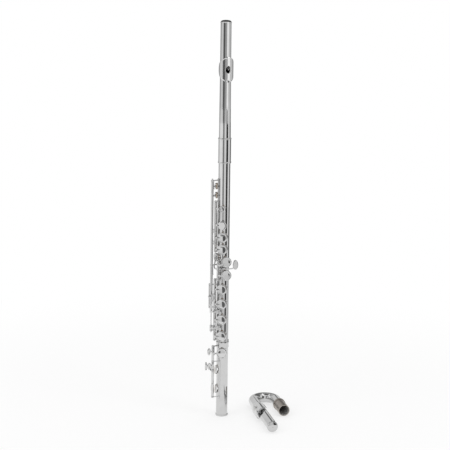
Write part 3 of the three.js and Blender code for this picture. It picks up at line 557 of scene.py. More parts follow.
def soft(name, light, dark, scale, bump, sheen):
    """Felt or cork: a fine mottled grain."""
    material, nodes, links, shader = new_material(name)
    coords = nodes.new("ShaderNodeTexCoord").outputs["Object"]
    grain = noise(nodes, links, coords, scale, 6, 0.7)
    links.new(ramp(nodes, links, grain, [(0.35, dark), (0.65, light)]), shader.inputs["Base Color"])
    bumped(nodes, links, shader, grain, bump, SOFT_GRAIN * MM)
    sockets(shader, Roughness=0.85, Sheen_Weight=sheen)
    return material


METAL_GRAIN = 0.04
SOFT_GRAIN = 0.1
SILVER = metal("silver_plate", grey(0.635), (0.58, 0.58, 0.577), 0.035, 0.08, (1, 1, 0.12))
KEY_SILVER = metal("silver_keys", grey(0.665), (0.605, 0.605, 0.602), 0.035, 0.08)
LIP_SILVER = metal("silver_lip", grey(0.69), (0.62, 0.62, 0.617), 0.07, 0.15)
SATIN = metal("satin_tenon", (0.43, 0.395, 0.36), (0.33, 0.3, 0.275), 0.26, 0.42, (1, 0.1, 1), 0.08)
BORE = metal("dull_bore", (0.55, 0.545, 0.535), (0.42, 0.415, 0.405), 0.4, 0.55, metallic=0.35)
# A lighter, nearly matte copy of the bore's metal: painted light that brightens the inside of the head joints
# and their embouchure holes
LIGHTENED_BORE = metal("bore_with_painted_light", (0.9, 0.9, 0.89), (0.82, 0.82, 0.81), 0.35, 0.5, metallic=0.2)
STEEL_LOOK = metal("pivot_steel", (0.62, 0.62, 0.63), (0.5, 0.5, 0.51), 0.14, 0.26)
BLUED = metal("blued_steel", (0.24, 0.26, 0.32), (0.16, 0.17, 0.22), 0.2, 0.34)
FELT = soft("pad_skin", (0.87, 0.72, 0.57), (0.77, 0.61, 0.46), 900, 0.4, 0.3)
CORK = soft("cork", (0.62, 0.44, 0.27), (0.36, 0.23, 0.13), 1400, 0.8, 0)


# Pieces
def make_object(name, part):
    verts, faces = part
    mesh = bpy.data.meshes.new(name)
    mesh.from_pydata((np.asarray(verts) * MM + np.array(AXIS)).tolist(), [], faces)
    mesh.validate()
    obj = bpy.data.objects.new(name, mesh)
    bpy.context.scene.collection.objects.link(obj)
    return obj


def smooth(obj, angle):
    obj.data.shade_smooth()
    obj.data.set_sharp_from_angle(angle=math.radians(angle))


def dress(obj, body, material=SILVER, nodes=()):
    obj.data.materials.append(material)
    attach(obj, body)
    if nodes:
        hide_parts(*nodes)
    return obj


def piece(name, part, body, material=SILVER, nodes=(), angle=38):
    obj = make_object(name, part)
    smooth(obj, angle)
    return dress(obj, body, material, nodes)


def finer(node, part, body, material=SILVER, angle=38):
    """A finer piece in place of a CAD node."""
    return piece(node + "_fine", part, body, material, [node], angle)

def booleans(base, steps):
    """Base with each (operation, part) applied in turn."""
    obj = make_object("work", base)
    for operation, part in steps:
        tool = make_object("tool", part)
        modifier = obj.modifiers.new("cut", "BOOLEAN")
        modifier.operation = operation
        modifier.solver = "EXACT"
        modifier.object = tool
        bpy.context.view_layer.update()
        fresh = bpy.data.meshes.new_from_object(obj.evaluated_get(bpy.context.evaluated_depsgraph_get()))
        obj.modifiers.clear()
        old = obj.data
        obj.data = fresh
        bpy.data.meshes.remove(old)
        bpy.data.objects.remove(tool)
    return obj


def away_from_axis(point):
    """How far a point is from a straight tube's axis."""
    return math.hypot(point[0], point[1])


def into(inverse):
    """The turn and shift into a tube's own frame."""
    if inverse is None:
        return np.eye(3), np.zeros(3)
    return np.array(inverse.to_3x3()), np.array(inverse.translation)


def lined(obj, radius, inverse=None, reach=away_from_axis, look=BORE):
    """The faces of a bore get its duller metal, or the given look; the lighter bore look is painted light."""
    obj.data.materials.append(look)
    turn, shift = into(inverse)
    for poly in obj.data.polygons:
        middle = (np.array(poly.center) - np.array(AXIS)) / MM
        if reach(turn @ middle + shift) < radius + WALL_TOLERANCE:
            poly.material_index = 1


def round_normals(obj, lies_on_wall, inverse=None):
    """Faces on a turned wall shade as the round wall that they are part of."""
    mesh = obj.data
    smooth(obj, 30)
    normals = np.array([n.vector[:] for n in mesh.corner_normals])
    turn, shift = into(inverse)
    local = (np.array([v.co for v in mesh.vertices]) - np.array(AXIS)) / MM @ turn.T + shift
    for poly in mesh.polygons:
        points = local[list(poly.vertices)]
        normal = turn @ np.array(poly.normal)
        middle = points.mean(0)
        outward = normal[0] * middle[0] + normal[1] * middle[1]
        if lies_on_wall(np.hypot(points[:, 0], points[:, 1]), normal, outward, away_from_axis(middle)):
            for loop in poly.loop_indices:
                x, y, _ = local[mesh.loops[loop].vertex_index]
                normals[loop] = turn.T @ (math.copysign(1, outward) * np.array([x, y, 0]) / math.hypot(x, y))
    mesh.normals_split_custom_set(normals.tolist())


WALL_TOLERANCE = 0.05
ROOT_WIDTH = 0.55
ROOT_STEPS = 4


def fillet_ring(radius, turn, height):
    """The soft root where a drawn chimney leaves the tube."""
    verts = []
    for i in range(CUP_SIDES):
        a = 2 * math.pi * i / CUP_SIDES
        c, s = math.cos(a), math.sin(a)

        def on_tube(r):
            return np.array([r * c, r * s, math.sqrt(max(TUBE**2 - (r * c) ** 2, 0))])

        corner = on_tube(radius)
        up = corner + np.array([0, 0, ROOT_WIDTH])
        up[2] = min(up[2], RIM - 0.5)
        out = on_tube(radius + ROOT_WIDTH)
        for k in range(ROOT_STEPS + 1):
            t = k / ROOT_STEPS
            verts.append((1 - t) ** 2 * up + 2 * t * (1 - t) * corner + t * t * out + np.array([0, 0, 0.004]))
    faces = []
    m = ROOT_STEPS + 1
    for i in range(CUP_SIDES):
        j = (i + 1) % CUP_SIDES
        for k in range(ROOT_STEPS):
            faces.append([i * m + k, i * m + k + 1, j * m + k + 1, j * m + k])
    return on_wall((np.array(verts), faces), turn, height)


# A chimney's rim, as how far it stands outside its wall and how far down from its top
CHIMNEY_RIM = ((0, -0.75), (0.13, -0.5), (0.15, -0.28), (0.05, -0.07), (-0.2, 0))


def drilled(node, tube, holes, body, extra=()):
    """A tube with its chimneys drawn out and bored, as (turn, height, radius) for each hole."""
    bore = TUBE - WALL
    root, past = bore - 0.6, RIM + 2
    unions, cuts = [], []
    for turn, height, radius in holes:
        outer = radius + CHIMNEY_WALL
        rim = [(outer + x, RIM + z) for x, z in CHIMNEY_RIM]
        chimney = lathe([(0, root), (outer, root), *rim, (0, RIM)])
        unions.append(("UNION", on_wall(chimney, turn, height)))
        flare = radius + 0.12
        side = [(radius, 2), (radius, RIM - 0.15), (flare, RIM + 0.02), (flare, past)]
        cutter = lathe([(0, 2), *side, (0, past)])
        cuts.append(("DIFFERENCE", on_wall(cutter, turn, height)))
    heights = [v[2] for v in tube[0]]
    through = ("DIFFERENCE", plug(bore, min(heights) - 5, max(heights) + 5))
    obj = booleans(tube, [*unions, through, *cuts, *extra])
    obj.name = node + "_fine"

    def on_either_wall(radii, normal, outward, _):
        wall = TUBE if outward > 0 else bore
        return np.all(np.abs(radii - wall) < 0.02) and abs(normal[2]) < 0.1

    round_normals(obj, on_either_wall)
    dress(obj, body, nodes=[node])
    lined(obj, bore)
    roots = merged(*[fillet_ring(radius + CHIMNEY_WALL, turn, height) for turn, height, radius in holes])
    piece(node + "_fine_roots", roots, body, angle=80)


def key(name, line, turn, height, low, high, body, radius=CUP, slant=0, lift=0, extras=(), plain=True):
    """A key in one piece, a plain one with its arm, and its pad, both open by their lift."""
    parts = [hinge_tube(line, low, high), on_wall(cup(radius), turn, height), *extras]
    if plain:
        parts.insert(2, shifted(arm(radius, line, turn, slant), z=height))
    swing = open_angle(line, turn, lift)
    finer(name, swung(merged(*parts), line, swing), body, KEY_SILVER)
    cushion = name.replace("_key", "") + "_pad"
    finer(cushion, swung(on_wall(pad(radius), turn, height), line, swing), body, FELT)


def plain_key(note, low, high):
    """A key on the main line, right over its hole."""
    key(note + "_key", "main", 0, PLACE[note], low, high, note + "_body", lift=KEY_LIFT)


def rib_strap(low, high, turn=RIB_TURN, spread=RIB_SPREAD):
    inner = TUBE + RIB_CLEAR - 0.3
    outer = TUBE + RIB_CLEAR + RIB
    edge = 0.22
    stations = np.linspace(-spread, spread, 9)
    rings = []
    for z, shrink in ((low, edge), (low + edge, 0), (high - edge, 0), (high, edge)):
        ring = []
        for s in stations:
            a = math.radians(turn + s * (1 - shrink / (outer * math.radians(spread))))
            r = outer - shrink - (edge if abs(s) == spread else 0)
            ring.append((r * math.sin(a), -r * math.cos(a), z))
        for s in stations[::-1]:
            a = math.radians(turn + s)
            ring.append((inner * math.sin(a), -inner * math.cos(a), z))
        rings.append(np.array(ring))
    return skin(rings)


# A post's foot, as (radius, height), when it is long and when it is short
LONG_FOOT = [(0, 0), (1.9, 0), (1.9, 0.35), (1.55, 0.75), (1.15, 1.2), (POST, 1.8)]
SHORT_FOOT = [(0, 0), (1.5, 0), (1.3, 0.5), (POST, 1)]
SHORT_POST = 3.2


def post(line, height, turn=RIB_TURN, ball=BALL):
    """A post from the rib to its rod, and the ball that the steel passes through."""
    x, y = RODS[line]
    foot = np.array([*wall_point(turn, RIB_MIDDLE), height])
    head = np.array([x, y, height])
    reach = np.linalg.norm(head - foot)
    if reach < SHORT_POST:
        profile = [*SHORT_FOOT, (POST, reach), (0, reach)]
    else:
        profile = [*LONG_FOOT, (POST * 0.92, reach * 0.55), (POST, reach - 0.4), (0, reach)]
    out = (head - foot) / reach
    across = np.cross((0, 0, 1), out)
    frame_rows = np.column_stack([across, np.cross(out, across), out, foot])
    stem = moved(lathe(profile, ROD_SIDES), Matrix([*frame_rows.tolist(), (0, 0, 0, 1)]))
    knob = [(0, -BALL_HALF)]
    for k in range(9):
        h = -BALL_HALF + BALL_HEIGHT * k / 8
        knob.append((ball * math.sqrt(max(1 - (h / (BALL_HALF * 1.38)) ** 2, 0)), h))
    knob.append((0, BALL_HALF))
    return merged(stem, shifted(lathe(knob, 24), x, y, height))


def rib(name, low, high, posts, turn=RIB_TURN, spread=RIB_SPREAD, body="root"):
    """A rib with its posts, each as (rod, height) and, where they differ, its turn and its ball."""
    parts = [rib_strap(low, high, turn, spread)]
    for line, height, *rest in posts:
        parts.append(post(line, height, *(rest or [turn])))
    finer(name, merged(*parts), body)


def steel(name, line, low, high, body, swing=0):
    reach = BALL_HALF + END_PLAY
    part = shifted(bar(STEEL, low - reach, high + reach, ROD_SIDES, 0.35), *RODS[line])
    finer(name, swung(part, line, swing), body, STEEL_LOOK)


# Body and barrel
ring_low = SOCKET_TOP + END_PLAY
body_top = BARREL_LOW + BODY_IN_BARREL
body_outline = [
    (0, SOCKET_TOP - TENON), (TUBE, SOCKET_TOP - TENON), (TUBE, ring_low),
    *bead(TUBE, RING, ring_low, ring_low + RING_HEIGHT), (TUBE, body_top), (0, body_top)]
body_holes = [(0, PLACE[n], HOLE) for n in ("d", "e", "f", "f_sharp", "a", "b_flat")]
body_holes += [
    (OFFSET_TURN, PLACE["g_lower"], HOLE),
    (OFFSET_TURN, PLACE["g_upper"], HOLE),
    (G_SHARP_TURN, G_SHARP_HOLE, HOLE - CUP + SIDE_CUP),
    (180, PLACE["thumb"], HOLE),
    (0, C_SHARP_HOLE, SMALL_HOLE),
    (TRILL_TURN, D_TRILL_HOLE, SMALL_HOLE),
    (TRILL_TURN, D_SHARP_TRILL_HOLE, SMALL_HOLE),
]
drilled("body_tube", lathe(body_outline, TUBE_SIDES), body_holes, "root")

barrel_top = BARREL_LOW + BARREL_LONG
barrel_inner = TUBE + SLIP - 0.2
low_ring, top_ring = BARREL_LOW + BARREL_RING_HEIGHT, barrel_top - BARREL_RING_HEIGHT
barrel_outline = [
    (barrel_inner, BARREL_LOW), *bead(BARREL, BARREL_RING, BARREL_LOW, low_ring),
    *bead(BARREL, BARREL_RING, top_ring, barrel_top), (barrel_inner, barrel_top)]
finer("barrel", lathe(barrel_outline, TUBE_SIDES), "root")

# Ribs, posts and steels
saddle = HINGE_OUT + RUNNING + 0.2
rib("lower_rib", LOW_POST - BALL_HALF, G_SHARP_HOLE - SIDE_CUP - BALL_HEIGHT, [
    ("main", LOW_POST), ("main", MID_POST), ("main", RIGHT_TOP), ("trill", TRILL_LOW, OUTER_TURN),
    ("trill", TRILL_MID, OUTER_TURN, saddle), ("side", SIDE_LOW, OUTER_TURN), ("side", SIDE_TOP, OUTER_TURN)])
rib("upper_rib", LEFT_LOW - BALL_HALF, TRILL_TOP + BALL_HEIGHT, [
    ("main", LEFT_LOW), ("main", LEFT_TOP), ("trill", TRILL_TOP, OUTER_TURN)])
rib("offset_rib", OFFSET_LOW - BALL_HEIGHT, OFFSET_TOP + BALL_HALF, [
    ("offset", OFFSET_LOW), ("offset", OFFSET_TOP)], OFFSET_RIB_TURN, NARROW_RIB)
rib("thumb_rib", THUMB_LOW - BALL_HEIGHT, THUMB_TOP + BALL_HEIGHT, [
    ("thumb", THUMB_LOW), ("thumb", THUMB_TOP)], THUMB_RIB_TURN)
steel("right_hand_steel", "main", LOW_POST, RIGHT_TOP, "root")
steel("left_hand_steel", "main", LEFT_LOW, LEFT_TOP, "root")
steel("side_lever_steel", "side", SIDE_LOW, SIDE_TOP, "root")

# Right hand
main_x, main_y = RODS["main"]
d_top = (PLACE["d"] + PLACE["e"]) / 2
f_top = (PLACE["f"] + PLACE["f_sharp"]) / 2
plain_key("d", LOW_POST + BALL_HALF, d_top)
plain_key("e", d_top, MID_POST - BALL_HALF)
plain_key("f", MID_POST + BALL_HALF, f_top)
plain_key("f_sharp", f_top, RIGHT_TOP - BALL_HALF)

side_x, side_y = RODS["side"]
side_z = (SIDE_LOW + SIDE_TOP) / 2
side_over = TOP + ARM_THICK
side_touch = main_x - HINGE
finer("b_flat_side_lever", merged(
    hinge_tube("side", SIDE_LOW + BALL_HALF, SIDE_TOP - BALL_HALF),
    lever([(side_x, side_y - STEEL, side_z), (side_x - HINGE, side_y - HINGE * 3, side_z),
           (RODS["trill"][0] - HINGE / 2, -side_over + ARM_THICK, side_z), (side_touch, -side_over, side_z)]),
    touch_plate(side_touch, -side_over, side_z, TOUCH / 2, TOUCH)), "side_lever", KEY_SILVER)

# Offset G keys
off_x, off_y = RODS["offset"]
off_low = OFFSET_LOW + BALL_HALF
off_top = OFFSET_TOP - BALL_HALF
lever_z = (PLACE["g_lower"] + PLACE["g_upper"]) / 2
gs_low, gs_top = lever_z - ARM, lever_z + ARM
key("g_lower_key", "offset", OFFSET_TURN, PLACE["g_lower"], off_low, gs_low, "g_pair", lift=KEY_LIFT)
key("g_upper_key", "offset", OFFSET_TURN, PLACE["g_upper"], gs_top, off_top, "g_pair", lift=KEY_LIFT,
    slant=(gs_top + off_top) / 2 - PLACE["g_upper"])
steel("g_rod", "offset", OFFSET_LOW, OFFSET_TOP, "g_pair", open_angle("offset", OFFSET_TURN, KEY_LIFT))

cup_top = wall_point(G_SHARP_TURN, TOP + ARM_THICK / 2)
beside = wall_point(G_SHARP_TURN, TOP + 1.2 * ARM_THICK)
lever_y = -RIM - PAD_HEIGHT
gs_x, gs_half, gs_long = 21.5, 4.6, 8.6
key("g_sharp_key", "offset", G_SHARP_TURN, G_SHARP_HOLE, gs_low, gs_top, "g_sharp_body", radius=SIDE_CUP,
    plain=False, extras=[
        lever([(off_x, off_y, gs_low + ARM / 2), (*beside, gs_low + ARM), (*cup_top, G_SHARP_HOLE - SIDE_CUP),
               (*cup_top, G_SHARP_HOLE)]),
        lever([(off_x, off_y, lever_z), (0, lever_y - ARM_THICK, lever_z), (gs_x / 2, lever_y, lever_z),
               (gs_x, lever_y + ARM_THICK, lever_z + ARM / 2)], LEVER * 0.85),
        touch_plate(gs_x, lever_y + ARM_THICK, lever_z + gs_long - ARM / 2, gs_half, gs_long)])

# Left hand
a_top = (PLACE["a"] + PLACE["b_flat"]) / 2
b_top = (PLACE["b_flat"] + PLACE["thumb"]) / 2
plain_key("a", LEFT_LOW + BALL_HALF, a_top)
plain_key("b_flat", a_top, b_top)
plate_y = -TOP + TOUCH_THICK / 2
plate_z = PLACE["thumb"] + TOUCH_THICK
key("c_sharp_key", "main", 0, C_SHARP_HOLE, b_top, LEFT_TOP - BALL_HALF, "c_sharp_body", radius=SMALL_CUP,
    lift=KEY_LIFT, extras=[
        touch_plate(0, plate_y, plate_z, TOUCH, TOUCH),
        lever([(main_x, main_y - STEEL, plate_z), ((main_x - TOUCH) / 2, plate_y, plate_z),
               (-TOUCH / 2, plate_y, plate_z)], ARM)])

# Thumb keys
th_x, th_y = RODS["thumb"]
touch_y = RIM + PAD_HEIGHT
thumb_meet = THUMB_LOW + 14
thumb_half = 5


def thumb_touch(height):
    points = [(th_x, th_y + STEEL, height), (th_x * 0.75, touch_y, height), (th_x / 4, touch_y, height)]
    return [touch_plate(th_x / 4, touch_y, height, TOUCH, thumb_half, 180), lever(points, ARM)]


key("thumb_b_key", "thumb", 180, PLACE["thumb"], thumb_meet, THUMB_TOP - BALL_HALF, "thumb_b_body",
    lift=KEY_LIFT, extras=thumb_touch(thumb_meet + thumb_half + END_PLAY))
thumb_flat = merged(
    shifted(bar(STEEL, THUMB_LOW - BALL_HEIGHT, THUMB_TOP + BALL_HEIGHT), th_x, th_y),
    hinge_tube("thumb", THUMB_LOW + BALL_HALF, thumb_meet),
    *thumb_touch(thumb_meet - thumb_half - END_PLAY))
thumb_swing = open_angle("thumb", 180, KEY_LIFT)
finer("thumb_b_flat_lever", swung(thumb_flat, "thumb", thumb_swing), "thumb_b_flat", KEY_SILVER)

# Trills
tr_x, tr_y = RODS["trill"]
trill_x = main_x + 5.5
trill_over = -TOP + PAD_PROUD
trill_round = 3.7


def trill_touch(height):
    points = [(tr_x, tr_y - STEEL), ((tr_x + main_x) / 2, trill_over), (trill_x, trill_over)]
    arc = lever([(x, y, height) for x, y in points])
    return [arc, touch_plate(trill_x, trill_over, height, trill_round, trill_round)]


trill_meet = (D_TRILL_HOLE + D_SHARP_TRILL_HOLE) / 2
key("d_trill_key", "trill", TRILL_TURN, D_TRILL_HOLE, D_TRILL_TOUCH - ARM, trill_meet, "d_trill_body",
    radius=SMALL_CUP, extras=trill_touch(D_TRILL_TOUCH))
key("d_sharp_trill_key", "trill", TRILL_TURN, D_SHARP_TRILL_HOLE, trill_meet, TRILL_TOP - BALL_HALF,
    "d_sharp_trill_body", radius=SMALL_CUP, extras=[
        *trill_touch(D_SHARP_TRILL_TOUCH),
        hinge_tube("trill", TRILL_LOW + BALL_HALF, D_SHARP_TRILL_TOUCH + ARM),
        shifted(bar(STEEL, TRILL_LOW - BALL_HEIGHT, TRILL_TOP + BALL_HEIGHT), tr_x, tr_y)])

# Foot joint
socket_low = SOCKET_TOP - SOCKET_DEPTH
socket_out = TUBE + SLIP + SOCKET_WALL
mouth_low = SOCKET_TOP - RING_HEIGHT
foot_outline = rounded([
    (0, 0), (RING, 0), (RING, RING_HEIGHT), (TUBE, RING_HEIGHT), (TUBE, socket_low - WALL - 0.5),
    (socket_out, socket_low), (socket_out, mouth_low), (RING + SLIP, mouth_low), (RING + SLIP, SOCKET_TOP),
    (0, SOCKET_TOP)], 0.3)
foot_holes = [
    (turn, PLACE[note], FOOT_HOLE)
    for turn, note in ((FOOT_TURN, "c"), (FOOT_TURN, "c_sharp"), (0, "d_sharp"))]
socket = plug(TUBE + SLIP, socket_low, SOCKET_TOP + 2)
drilled("foot_tube", lathe(foot_outline, TUBE_SIDES), foot_holes, "foot", [("DIFFERENCE", socket)])
piece("foot_post_fine", post("foot", FOOT_TOP, FOOT_POST_TURN), "foot")
rib("foot_rib", FOOT_LOW - BALL_HEIGHT, FOOT_MID + BALL_HALF, [("foot", FOOT_LOW), ("foot", FOOT_MID)],
    FOOT_RIB_TURN, NARROW_RIB, "foot")

ft_x, ft_y = RODS["foot"]
foot_lift = KEY_LIFT * 0.85
c_top = (PLACE["c"] + PLACE["c_sharp"]) / 2 - HINGE * 2
touch_tube = 12
touch_low = FOOT_MID - BALL_HALF - touch_tube
c_touch = FOOT_MID - BALL_HALF - touch_tube / 2
d_touch = PLACE["d_sharp"] + ARM
front_y = ft_y - TOUCH_THICK * 2
foot_touch_x = ft_x - 6.2
foot_half, foot_long = 3.1, 6.4


def foot_touch(low, middle, high):
    """A long narrow touch, and its lever from the rod at those three heights."""
    points = [(ft_x, ft_y - STEEL, low), (ft_x - foot_half, front_y, middle), (foot_touch_x, front_y, high)]
    return [touch_plate(foot_touch_x, front_y, high, foot_half, foot_long), lever(points)]


key("foot_c_key", "foot", FOOT_TURN, PLACE["c"], FOOT_LOW + BALL_HALF, c_top, "foot_c", lift=foot_lift)
key("foot_c_sharp_key", "foot", FOOT_TURN, PLACE["c_sharp"], c_top, touch_low, "foot_c_sharp", lift=foot_lift,
    extras=foot_touch(touch_low - ARM, touch_low - ARM / 2, c_touch))
key("foot_d_sharp_key", "foot", 0, PLACE["d_sharp"], FOOT_MID + BALL_HALF, FOOT_TOP - BALL_HALF,
    "foot_d_sharp", extras=foot_touch(d_touch, d_touch, d_touch))
foot_swing = open_angle("foot", FOOT_TURN, foot_lift)
steel("foot_steel", "foot", FOOT_LOW, FOOT_TOP, "foot_c", foot_swing)

ROLLER, ROLLER_LONG, PIN = 1.9, 10, 0.7
roller_x = foot_touch_x - foot_half - ROLLER - RUNNING * 2
roller_low, roller_top = c_touch - ROLLER_LONG / 2, c_touch + ROLLER_LONG / 2
behind_y = front_y + ROLLER + LEVER_THICK
lug_low = roller_low - RUNNING - LEVER_THICK / 2
lug_top = roller_top + RUNNING + LEVER_THICK / 2


def block(low, high, edge=0.25):
    """A box with its long edges eased."""
    (x0, y0, z0), (x1, y1, z1) = low, high
    e = min(edge, (x1 - x0) / 3, (y1 - y0) / 3, (z1 - z0) / 3)

    def ring(z, inset):
        a, b, c, d = x0 + inset, x1 - inset, y0 + inset, y1 - inset
        front, right = [(a + e, c), (b - e, c)], [(b, c + e), (b, d - e)]
        rear, left = [(b - e, d), (a + e, d)], [(a, d - e), (a, c + e)]
        return np.array([(x, y, z) for x, y in front + right + rear + left])

    return skin([ring(z0, e), ring(z0 + e, 0), ring(z1 - e, 0), ring(z1, e)])


def lug(height):
    half, t = LEVER / 2, LEVER_THICK / 2
    y = [front_y, behind_y]
    mid, reach = sum(y) / 2, (behind_y - front_y + LEVER) / 2
    return block((roller_x - half, mid - reach, height - t), (roller_x + half, mid + reach, height + t))


touch_frame = merged(
    hinge_tube("foot", touch_low, FOOT_MID - BALL_HALF),
    lever([(ft_x, ft_y + STEEL, c_touch), ((ft_x + roller_x) / 2, ft_y + HINGE * 0.9, c_touch),
           (roller_x, behind_y + LEVER_THICK / 2, c_touch)]),
    block((roller_x - LEVER / 2, behind_y, lug_low), (roller_x + LEVER / 2, behind_y + LEVER_THICK, lug_top)),
    lug(lug_low), lug(lug_top), shifted(bar(PIN, lug_low, lug_top), roller_x, front_y))
finer("foot_c_touch", swung(touch_frame, "foot", foot_swing), "foot_c", KEY_SILVER)
roller_bore = PIN + RUNNING
roller_outline = [
    (roller_bore, roller_low), (ROLLER, roller_low), (ROLLER, roller_top), (roller_bore, roller_top)]
roller = shifted(lathe(rounded(roller_outline, 0.4, 4), 32), roller_x, front_y)
finer("foot_roller", swung(roller, "foot", foot_swing), "foot_roller_body", KEY_SILVER)

# Needle springs, and the small forks on the keys that hold their ends
SPRING_OUT, SPRING, FORK = 3.1, 0.25, 1.3
PRONG, FORK_HALF, FORK_PAST = 0.25, 0.5, 0.45


def spring(name, line, turn, start, end, body, carrier="root"):
    rod = np.array(RODS[line])
    toward = np.array(wall_point(turn, RIB_MIDDLE)) - rod
    toward /= np.linalg.norm(toward)
    wire = bar(SPRING, min(start, end), max(start, end), 10, 0.1)
    piece(name + "_spring", shifted(wire, *(rod + toward * SPRING_OUT)), carrier, BLUED)
    inner, outer = HINGE - 0.2, SPRING_OUT + FORK_PAST
    prongs = [
        block((inner, y - PRONG, end - FORK_HALF), (outer, y + PRONG, end + FORK_HALF), 0.12)
        for y in (-FORK, FORK)]
    facing = Matrix.Rotation(math.atan2(toward[1], toward[0]), 4, "Z")
    piece(name + "_hook", shifted(moved(merged(*prongs), facing), *rod), body, KEY_SILVER)


# Each spring as (key, rod, its post's turn, its post's height, how far it reaches along the rod)
SPRINGS = (
    ("d", "main", RIB_TURN, LOW_POST, 12),
    ("e", "main", RIB_TURN, MID_POST, -17),
    ("f", "main", RIB_TURN, MID_POST, 17),
    ("f_sharp", "main", RIB_TURN, RIGHT_TOP, -17),
    ("a", "main", RIB_TURN, LEFT_LOW, 11),
    ("c_sharp", "main", RIB_TURN, LEFT_TOP, -18),
    ("d_trill", "trill", OUTER_TURN, TRILL_MID, -16),
    ("d_sharp_trill", "trill", OUTER_TURN, TRILL_TOP, -14),
    ("thumb_b", "thumb", THUMB_RIB_TURN, THUMB_TOP, -14),
)
for name, line, turn, start, along in SPRINGS:
    spring(name, line, turn, start, start + along, name + "_body")
spring("foot_d_sharp", "foot", FOOT_POST_TURN, FOOT_TOP, FOOT_TOP - 15, "foot_d_sharp", "foot")

# Clutch lugs, by which one key carries its neighbour on the same steel
LUG_GAP, LUG_END, LUG_OUT, LUG_HALF = 0.4, 3.4, 3.3, 0.9
for low_key, high_key, height in (
        ("d", "e", d_top), ("f", "f_sharp", f_top), ("a", "b_flat", a_top), ("b_flat", "c_sharp", b_top)):
    prefix = f"{low_key}_{high_key}_clutch_"
    for end, low, high, carrier in (
            ("low", height - LUG_END, height - LUG_GAP, low_key),
            ("high", height + LUG_GAP, height + LUG_END, high_key)):
        part = block((-LUG_OUT, -LUG_HALF, low), (-HINGE, LUG_HALF, high))
        piece(prefix + end, shifted(part, main_x, main_y), carrier + "_body", KEY_SILVER)


# Head joints
def lip_part():
    """The plate round its own centre, and the wall of the embouchure hole down to the tube."""
    outer = LIP_RADIUS + LIP_THICK
    zmax = LIP_LONG / 2
    hole, edge = [], []
    for i in range(LIP_SIDES):
        a = 2 * math.pi * i / LIP_SIDES
        c, s = math.cos(a), math.sin(a)
        hole.append((math.asin(HOLE_WIDE * c / outer), HOLE_LONG * s))
        lo, hi = 0, 4
        for _ in range(30):
            mid = (lo + hi) / 2
            inside = abs(mid * c) ** 1.25 + abs(mid * s) ** 2 < 1
            lo, hi = (mid, hi) if inside else (lo, mid)
        edge.append((math.radians(LIP_SPREAD) * lo * c, zmax * lo * s))
    skirt = [(math.copysign(min(abs(turn) + 0.1, 1.2), turn), z * 1.2) for turn, z in hole]

    def ring(r, t=0, start=hole):
        """The ring at that radius, a share t of the way from its start to the plate's edge."""
        points = []
        for (turn, z), (edge_turn, edge_z) in zip(start, edge):
            theta, along = turn + (edge_turn - turn) * t, z + (edge_z - z) * t
            dip = LIP_DIP * abs(along / zmax) ** 4
            points.append((r * math.sin(theta), dip - LIP_OFFSET - r * math.cos(theta), along))
        return points

    def height(t):
        return outer - 0.55 * LIP_THICK * max(t - 0.9, 0) / 0.1 * 0.6 - 0.12 * (1 - min(t / 0.05, 1))

    rings = [ring(r) for r in (LIP_SEAT, TUBE, outer - 1.2, outer - 0.45)]
    rings += [ring(height(k / LIP_STEPS), k / LIP_STEPS) for k in range(LIP_STEPS + 1)]
    rings += [ring(outer - LIP_THICK * 0.6, 1), ring(outer - LIP_THICK, 0.985)]
    rings += [ring(LIP_RADIUS, t) for t in (0.75, 0.5, 0.3)]
    rings += [ring(LIP_RADIUS, start=skirt), ring(LIP_SEAT, start=skirt)]
    faces = []
    for k in range(len(rings)):
        low, high = k * LIP_SIDES, (k + 1) % len(rings) * LIP_SIDES
        for i in range(LIP_SIDES):
            j = (i + 1) % LIP_SIDES
            faces.append([high + i, high + j, low + j, low + i])
    return np.vstack(rings), faces


def crown_part():
    rim = CROWN_REACH + END_PLAY
    top = rim + CROWN_RIM
    neck = CROWN_BORE - SLIP
    shoulder = CROWN * 0.955
    dome = shoulder * 0.97
    steep = math.radians(84)
    profile = [
        (0, rim - 6), (neck, rim - 6), (neck, rim), (CROWN - 0.2, rim), (CROWN, rim + 0.2),
        (CROWN, rim + 0.45), (shoulder, top - 0.1), (dome, top + 0.02)]
    for k in range(1, 9):
        a = steep * k / 8
        profile.append((dome * math.cos(a), top + CROWN_DOME * math.sin(a) / math.sin(steep)))
    profile += [(0.75, top + CROWN_DOME - 0.12), (0, top + CROWN_DOME - 0.45)]
    return lathe(profile, TUBE_SIDES)


def stopper_parts():
    radius = CROWN_BORE - SLIP
    plate_top = STOPPER_LOW + STOPPER_PLATE
    cork_low = plate_top + 0.3
    plate = bar(radius, STOPPER_LOW, plate_top, CUP_SIDES)
    screw = bar(1.7, plate_top, CROWN_REACH + END_PLAY)
    cork = pipe(radius, 2, cork_low, cork_low + CORK_LONG, CUP_SIDES, 0.3)
    return merged(plate, screw), cork


def in_hole(point):
    """1 on the wall of the embouchure hole, less inside it."""
    return math.hypot(point[0] / HOLE_WIDE, point[2] / HOLE_LONG)


def head_fittings(matrix, prefix, body, crown_body, stopper_body):
    lip = finer(prefix + "_lip_plate", moved(lip_part(), matrix), body, LIP_SILVER, angle=50)
    # The hole's wall gets the lighter bore look: painted light in the embouchure hole
    lined(lip, 1, matrix.inverted(), in_hole, LIGHTENED_BORE)
    finer(prefix + "_crown", moved(crown_part(), matrix), crown_body)
    screw, cork = stopper_parts()
    finer(prefix + "_stopper_screw", moved(screw, matrix), stopper_body, STEEL_LOOK)
    finer(prefix + "_stopper_cork", moved(cork, matrix), stopper_body, CORK)


def embouchure_cut(matrix):
    cutter = moved(plug(1, 2, LIP_RADIUS * 2, CUP_SIDES), Matrix.Diagonal((HOLE_WIDE, HOLE_LONG, 1, 1)))
    return "DIFFERENCE", moved(cutter, matrix @ wall_frame(0, 0))


